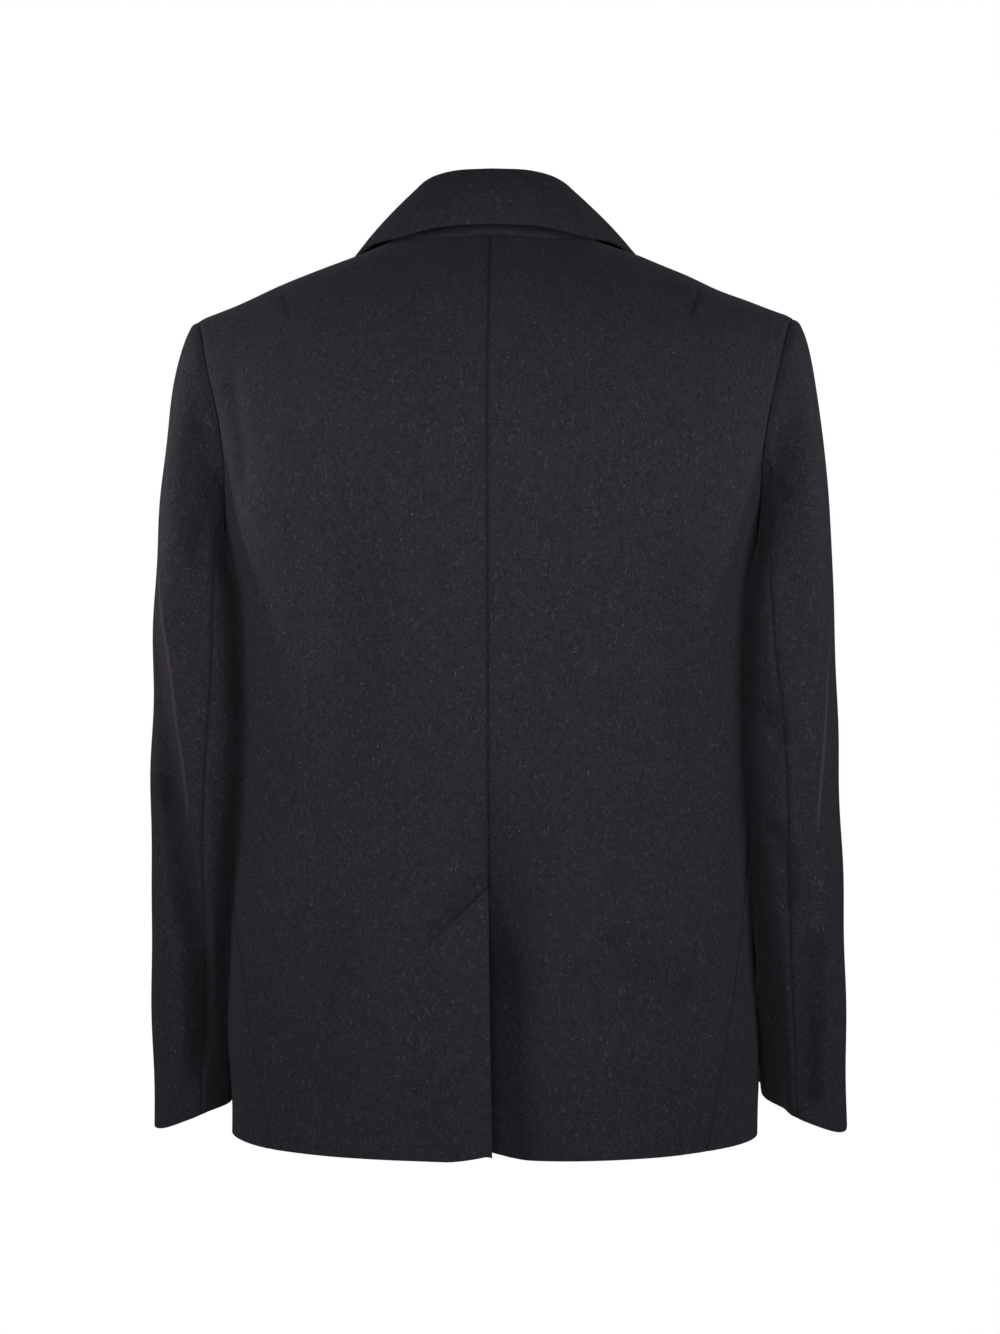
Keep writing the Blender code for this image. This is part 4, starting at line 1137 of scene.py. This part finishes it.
def dress_front(front_left, horn, thread):
    """Six sewn buttons on the left front, and three worked buttonholes under the right column."""
    cloth = Cloth(front_left)
    disc = disc_with_holes(horn)
    for side, x in BUTTON_COLUMNS.items():
        for row, z in enumerate(BUTTON_HEIGHTS, 1):
            place = cloth.square(x, z)
            piece = linked(f"disc_{side}_{row}", disc.copy())
            piece.data.transform(place)
            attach(piece, "root")
            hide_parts(f"button_{side}_{row}")
            sewn_on = strands(f"shank_{side}_{row}", sewing(), THREAD_RADIUS, thread)
            sewn_on.data.transform(place)
            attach(sewn_on, "root")
    for row, z in enumerate(BUTTON_HEIGHTS, 1):
        start, end = BUTTONHOLE
        ends = []
        for x in np.arange(start, end, STITCH_STEP):
            for way in (-1, 1):
                near, far = z + way * 0.00025, z + way * STITCH_REACH
                ends.append((cloth.at(x, near, 0.0001), cloth.at(x, far, 0.00015)))
        for i in range(7):
            angle = math.pi * (i / 6 - 0.5)
            far = (end + STITCH_REACH * math.cos(angle), z + STITCH_REACH * math.sin(angle))
            ends.append((cloth.at(end, z, 0.0001), cloth.at(*far, 0.00015)))
        worked = strands(f"buttonhole_{row}", ends, 0.00042, thread, 5)
        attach(worked, "root")


# ---- materials
def feed(tree, node, inputs):
    """Gives each socket its value, or the output that feeds it."""
    for socket, value in dict(inputs).items():
        if isinstance(value, bpy.types.NodeSocket):
            tree.links.new(value, node.inputs[socket])
        else:
            node.inputs[socket].default_value = value


def add(tree, kind, inputs=(), **settings):
    """A node with its settings and inputs."""
    node = tree.nodes.new(kind)
    for setting, value in settings.items():
        setattr(node, setting, value)
    feed(tree, node, inputs)
    return node


def maths(tree, operation, *values):
    return add(tree, "ShaderNodeMath", enumerate(values), operation=operation).outputs[0]


def bumped(tree, strength, distance, height):
    inputs = {"Strength": strength, "Distance": distance, "Height": height}
    return add(tree, "ShaderNodeBump", inputs).outputs["Normal"]


def blank(name):
    material = bpy.data.materials.new(name)
    material.use_nodes = True
    tree = material.node_tree
    place = add(tree, "ShaderNodeTexCoord").outputs["Object"]
    return material, tree, tree.nodes["Principled BSDF"], place


def speckle(tree, place, scale, detail, roughness, stretch=(1, 1, 1)):
    """Noise of about scale cells a metre, drawn out along an axis by stretch."""
    place = add(tree, "ShaderNodeMapping", {"Vector": place, "Scale": stretch}).outputs["Vector"]
    inputs = {"Vector": place, "Scale": scale, "Detail": detail, "Roughness": roughness}
    return add(tree, "ShaderNodeTexNoise", inputs).outputs["Fac"]


def ranged(tree, value, start, end, low=0.0, high=1.0):
    inputs = {"Value": value, "From Min": start, "From Max": end, "To Min": low, "To Max": high}
    return add(tree, "ShaderNodeMapRange", inputs, interpolation_type="SMOOTHSTEP").outputs["Result"]


def times(tree, a, b):
    return maths(tree, "MULTIPLY", a, b)


def blended(tree, share, a, b):
    """A colour between a and b."""
    a, b = ((*c, 1) if isinstance(c, tuple) else c for c in (a, b))
    node = add(tree, "ShaderNodeMix", {0: share, 6: a, 7: b}, data_type="RGBA")
    return node.outputs[2]


def attribute(tree, name):
    return add(tree, "ShaderNodeAttribute", attribute_name=name).outputs["Fac"]


def curls(tree, place, scale, thin, stretch):
    """Thin curling lines: the middle heights of a drawn-out noise."""
    value = maths(tree, "SUBTRACT", speckle(tree, place, scale, 1.0, 0.5, stretch), 0.5)
    height = maths(tree, "ABSOLUTE", value)
    return ranged(tree, height, thin, thin * 0.25)


def wool(name):
    """Milled melton: a melange of dark fibres, pores, a web of short paler fibres and a few stray hairs,
    with painted shade and painted highlights read from the mesh's marks.
    """
    material, tree, shader, place = blank(name)
    patch = speckle(tree, place, 60, 3, 0.6)
    tuft = speckle(tree, place, 260, 3, 0.65, (1, 1, 0.7))
    grain = speckle(tree, place, 1000, 2, 0.6)
    where = speckle(tree, place, 150, 3, 0.6, (1, 1, 0.6))
    web = curls(tree, place, 300, 0.035, (1, 1, 0.45))
    web = times(tree, web, ranged(tree, where, 0.42, 0.62))
    finer = times(tree, curls(tree, place, 480, 0.045, (0.8, 0.8, 0.6)), ranged(tree, where, 0.60, 0.42))
    hairs = speckle(tree, place, 1, 1, 0.5, (900, 900, 500))
    colour = blended(tree, ranged(tree, patch, 0.35, 0.65), WOOL_WARM, WOOL_COOL)
    colour = blended(tree, ranged(tree, tuft, 0.56, 0.30, 0.0, 0.55), colour, WOOL_DARK_AND_SEAM_SHADE)
    colour = blended(tree, ranged(tree, grain, 0.50, 0.34, 0.0, 0.55), colour, WOOL_DARK_AND_SEAM_SHADE)
    colour = blended(tree, times(tree, web, 0.70), colour, WOOL_FIBRE_AND_HIGHLIGHT)
    colour = blended(tree, times(tree, finer, 0.45), colour, WOOL_FIBRE_AND_HIGHLIGHT)
    colour = blended(tree, ranged(tree, hairs, 0.72, 0.80, 0.0, 0.8), colour, WOOL_FLECK)
    # The seam mark paints shade along the seams' grooves.
    colour = blended(tree, times(tree, attribute(tree, "seam"), 0.60), colour, WOOL_DARK_AND_SEAM_SHADE)
    # The line mark paints a highlight along sharp creases where it is positive.
    away = maths(tree, "ABSOLUTE", attribute(tree, "edge"))
    line = times(tree, ranged(tree, away, 0.0022, 0.0003), attribute(tree, "painted_line"))
    colour = blended(tree, times(tree, line, 0.85), colour, WOOL_FIBRE_AND_HIGHLIGHT)
    # The line mark paints shade along the darts and the underlap's top where it is negative.
    colour = blended(tree, times(tree, line, -0.9), colour, WOOL_PAINTED_SHADE)
    # The hollow mark paints shade in troughs, on the collar under its fall, on sleeves next to the body and
    # beside the vent.
    colour = blended(tree, times(tree, attribute(tree, "hollow"), 0.60), colour, WOOL_PAINTED_SHADE)
    nap = maths(tree, "ADD", times(tree, tuft, 1.0), times(tree, grain, 0.5))
    nap = maths(tree, "ADD", nap, times(tree, web, 0.25))
    feed(tree, shader, {
        "Base Color": colour, "Roughness": ranged(tree, grain, 0.3, 0.7, 0.97, 0.86),
        "Normal": bumped(tree, 0.6, 0.0006, nap), "Specular IOR Level": 0.06,
        "Sheen Weight": 0.06, "Sheen Roughness": 0.45, "Sheen Tint": (0.80, 0.76, 0.86, 1),
    })
    return material


def horn(name):
    """Horn-look resin: smoky streaks under a satin polish, with fine wear."""
    material, tree, shader, place = blank(name)
    streaks = speckle(tree, place, 1, 4, 0.6, (90, 90, 420))
    colour = blended(tree, ranged(tree, streaks, 0.38, 0.68), HORN_DARK, HORN_LIGHT)
    wear = speckle(tree, place, 1100, 3, 0.7)
    feed(tree, shader, {
        "Base Color": colour, "Roughness": ranged(tree, wear, 0.3, 0.7, 0.26, 0.40),
        "Normal": bumped(tree, 0.12, 0.0002, wear), "Coat Weight": 0.25, "Coat Roughness": 0.22,
    })
    return material


def twist(name):
    """Dark buttonhole twist: fine slanting plies."""
    material, tree, shader, place = blank(name)
    plies = speckle(tree, place, 2600, 2, 0.5)
    colour = blended(tree, ranged(tree, plies, 0.35, 0.65), THREAD_DARK, THREAD_LIGHT)
    feed(tree, shader, {
        "Base Color": colour, "Roughness": ranged(tree, plies, 0.3, 0.7, 0.5, 0.75),
        "Normal": bumped(tree, 0.5, 0.0002, plies),
    })
    return material


def dress(name, faces, material):
    """A cloth shell that stands for its node."""
    outer, inner, marks = faces
    piece = shell(name + "_cloth", outer, inner, marks, material)
    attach(piece, "root")
    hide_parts(name)
    return piece


def coat():
    cloth = wool("charcoal_melton")
    panels = {}
    for side in ("left", "right"):
        panels[f"back_{side}"], panels[f"front_{side}"] = back(side), front(side)
        grids = [panels[f"{part}_{side}"]["points"] for part in ("back", "front")]
        body = search_tree([mirrored(grid) for grid in grids] if side == "right" else grids)
        for part in ("top", "under"):
            panels[f"sleeve_{part}_{side}"] = sleeve(side, part, body)
    lines = crease_lines(panels)
    pieces = {name: dress(name, sewn(name, made, lines), cloth) for name, made in panels.items()}
    for side in ("left", "right"):
        outer, inner, marks = lapel(side)
        if side == "right":
            outer, inner = mirrored(outer), mirrored(inner)
        dress(f"lapel_{side}", (outer, inner, marks), cloth)
    dress("collar", collar(), cloth)
    thread = twist("buttonhole_twist")
    dress_front(pieces["front_left"], horn("horn_resin"), thread)


# ---- studio
def aimed(name, data, place, aim):
    """A light or a camera at a place, turned to a point."""
    made = linked(name, data)
    made.location = place
    made.rotation_euler = (Vector(aim) - Vector(place)).to_track_quat("-Z", "Y").to_euler()
    return made


def lamp(name, place, aim, size, power, spread):
    """A soft rectangular light."""
    light = bpy.data.lights.new(name, "AREA")
    light.shape, light.size, light.size_y = "RECTANGLE", *size
    light.energy, light.spread = power, math.radians(spread)
    aimed(name, light, place, aim).visible_camera = False


def floor():
    """A pale floor that fades out into the surroundings."""
    made = bmesh.new()
    bmesh.ops.create_circle(made, cap_ends=True, segments=96, radius=FLOOR_RADIUS)
    material, tree, shader, place = blank("studio_floor")
    mottled = speckle(tree, place, 3, 3, 0.5)
    shade = blended(tree, ranged(tree, mottled, 0.3, 0.7, 0.0, 0.4), PALE, PALE_SHADE)
    feed(tree, shader, {"Base Color": shade, "Roughness": 0.8})
    away = add(tree, "ShaderNodeVectorMath", {0: place}, operation="LENGTH").outputs["Value"]
    gone = ranged(tree, away, *FLOOR_FADE)
    clear = add(tree, "ShaderNodeBsdfTransparent").outputs[0]
    fade = add(tree, "ShaderNodeMixShader", {0: gone, 1: shader.outputs[0], 2: clear})
    feed(tree, tree.nodes["Material Output"], {"Surface": fade.outputs[0]})
    piece = add_object("floor", made, material, False)
    piece.location.z = FLOOR_HEIGHT


def surroundings():
    """A white room that gives a weak even light."""
    world = bpy.data.worlds.new("studio")
    world.use_nodes = True
    tree = world.node_tree
    seen = add(tree, "ShaderNodeLightPath").outputs["Is Camera Ray"]
    strength = ranged(tree, seen, 0.0, 1.0, WORLD_LIGHT, 1.0)
    background = add(tree, "ShaderNodeBackground", {"Color": (1, 1, 1, 1), "Strength": strength})
    feed(tree, tree.nodes["World Output"], {"Surface": background.outputs[0]})
    bpy.context.scene.world = world


def camera():
    view = bpy.data.cameras.new("camera")
    view.lens, view.sensor_width, view.sensor_fit = CAMERA_LENS, 36, "AUTO"
    view.clip_end = 60
    bpy.context.scene.camera = aimed("camera", view, CAMERA_PLACE, CAMERA_AIM)


coat()
floor()
surroundings()
for row in LAMPS[1:]:
    lamp(*row)
camera()
bpy.context.scene.view_settings.view_transform = "Standard"
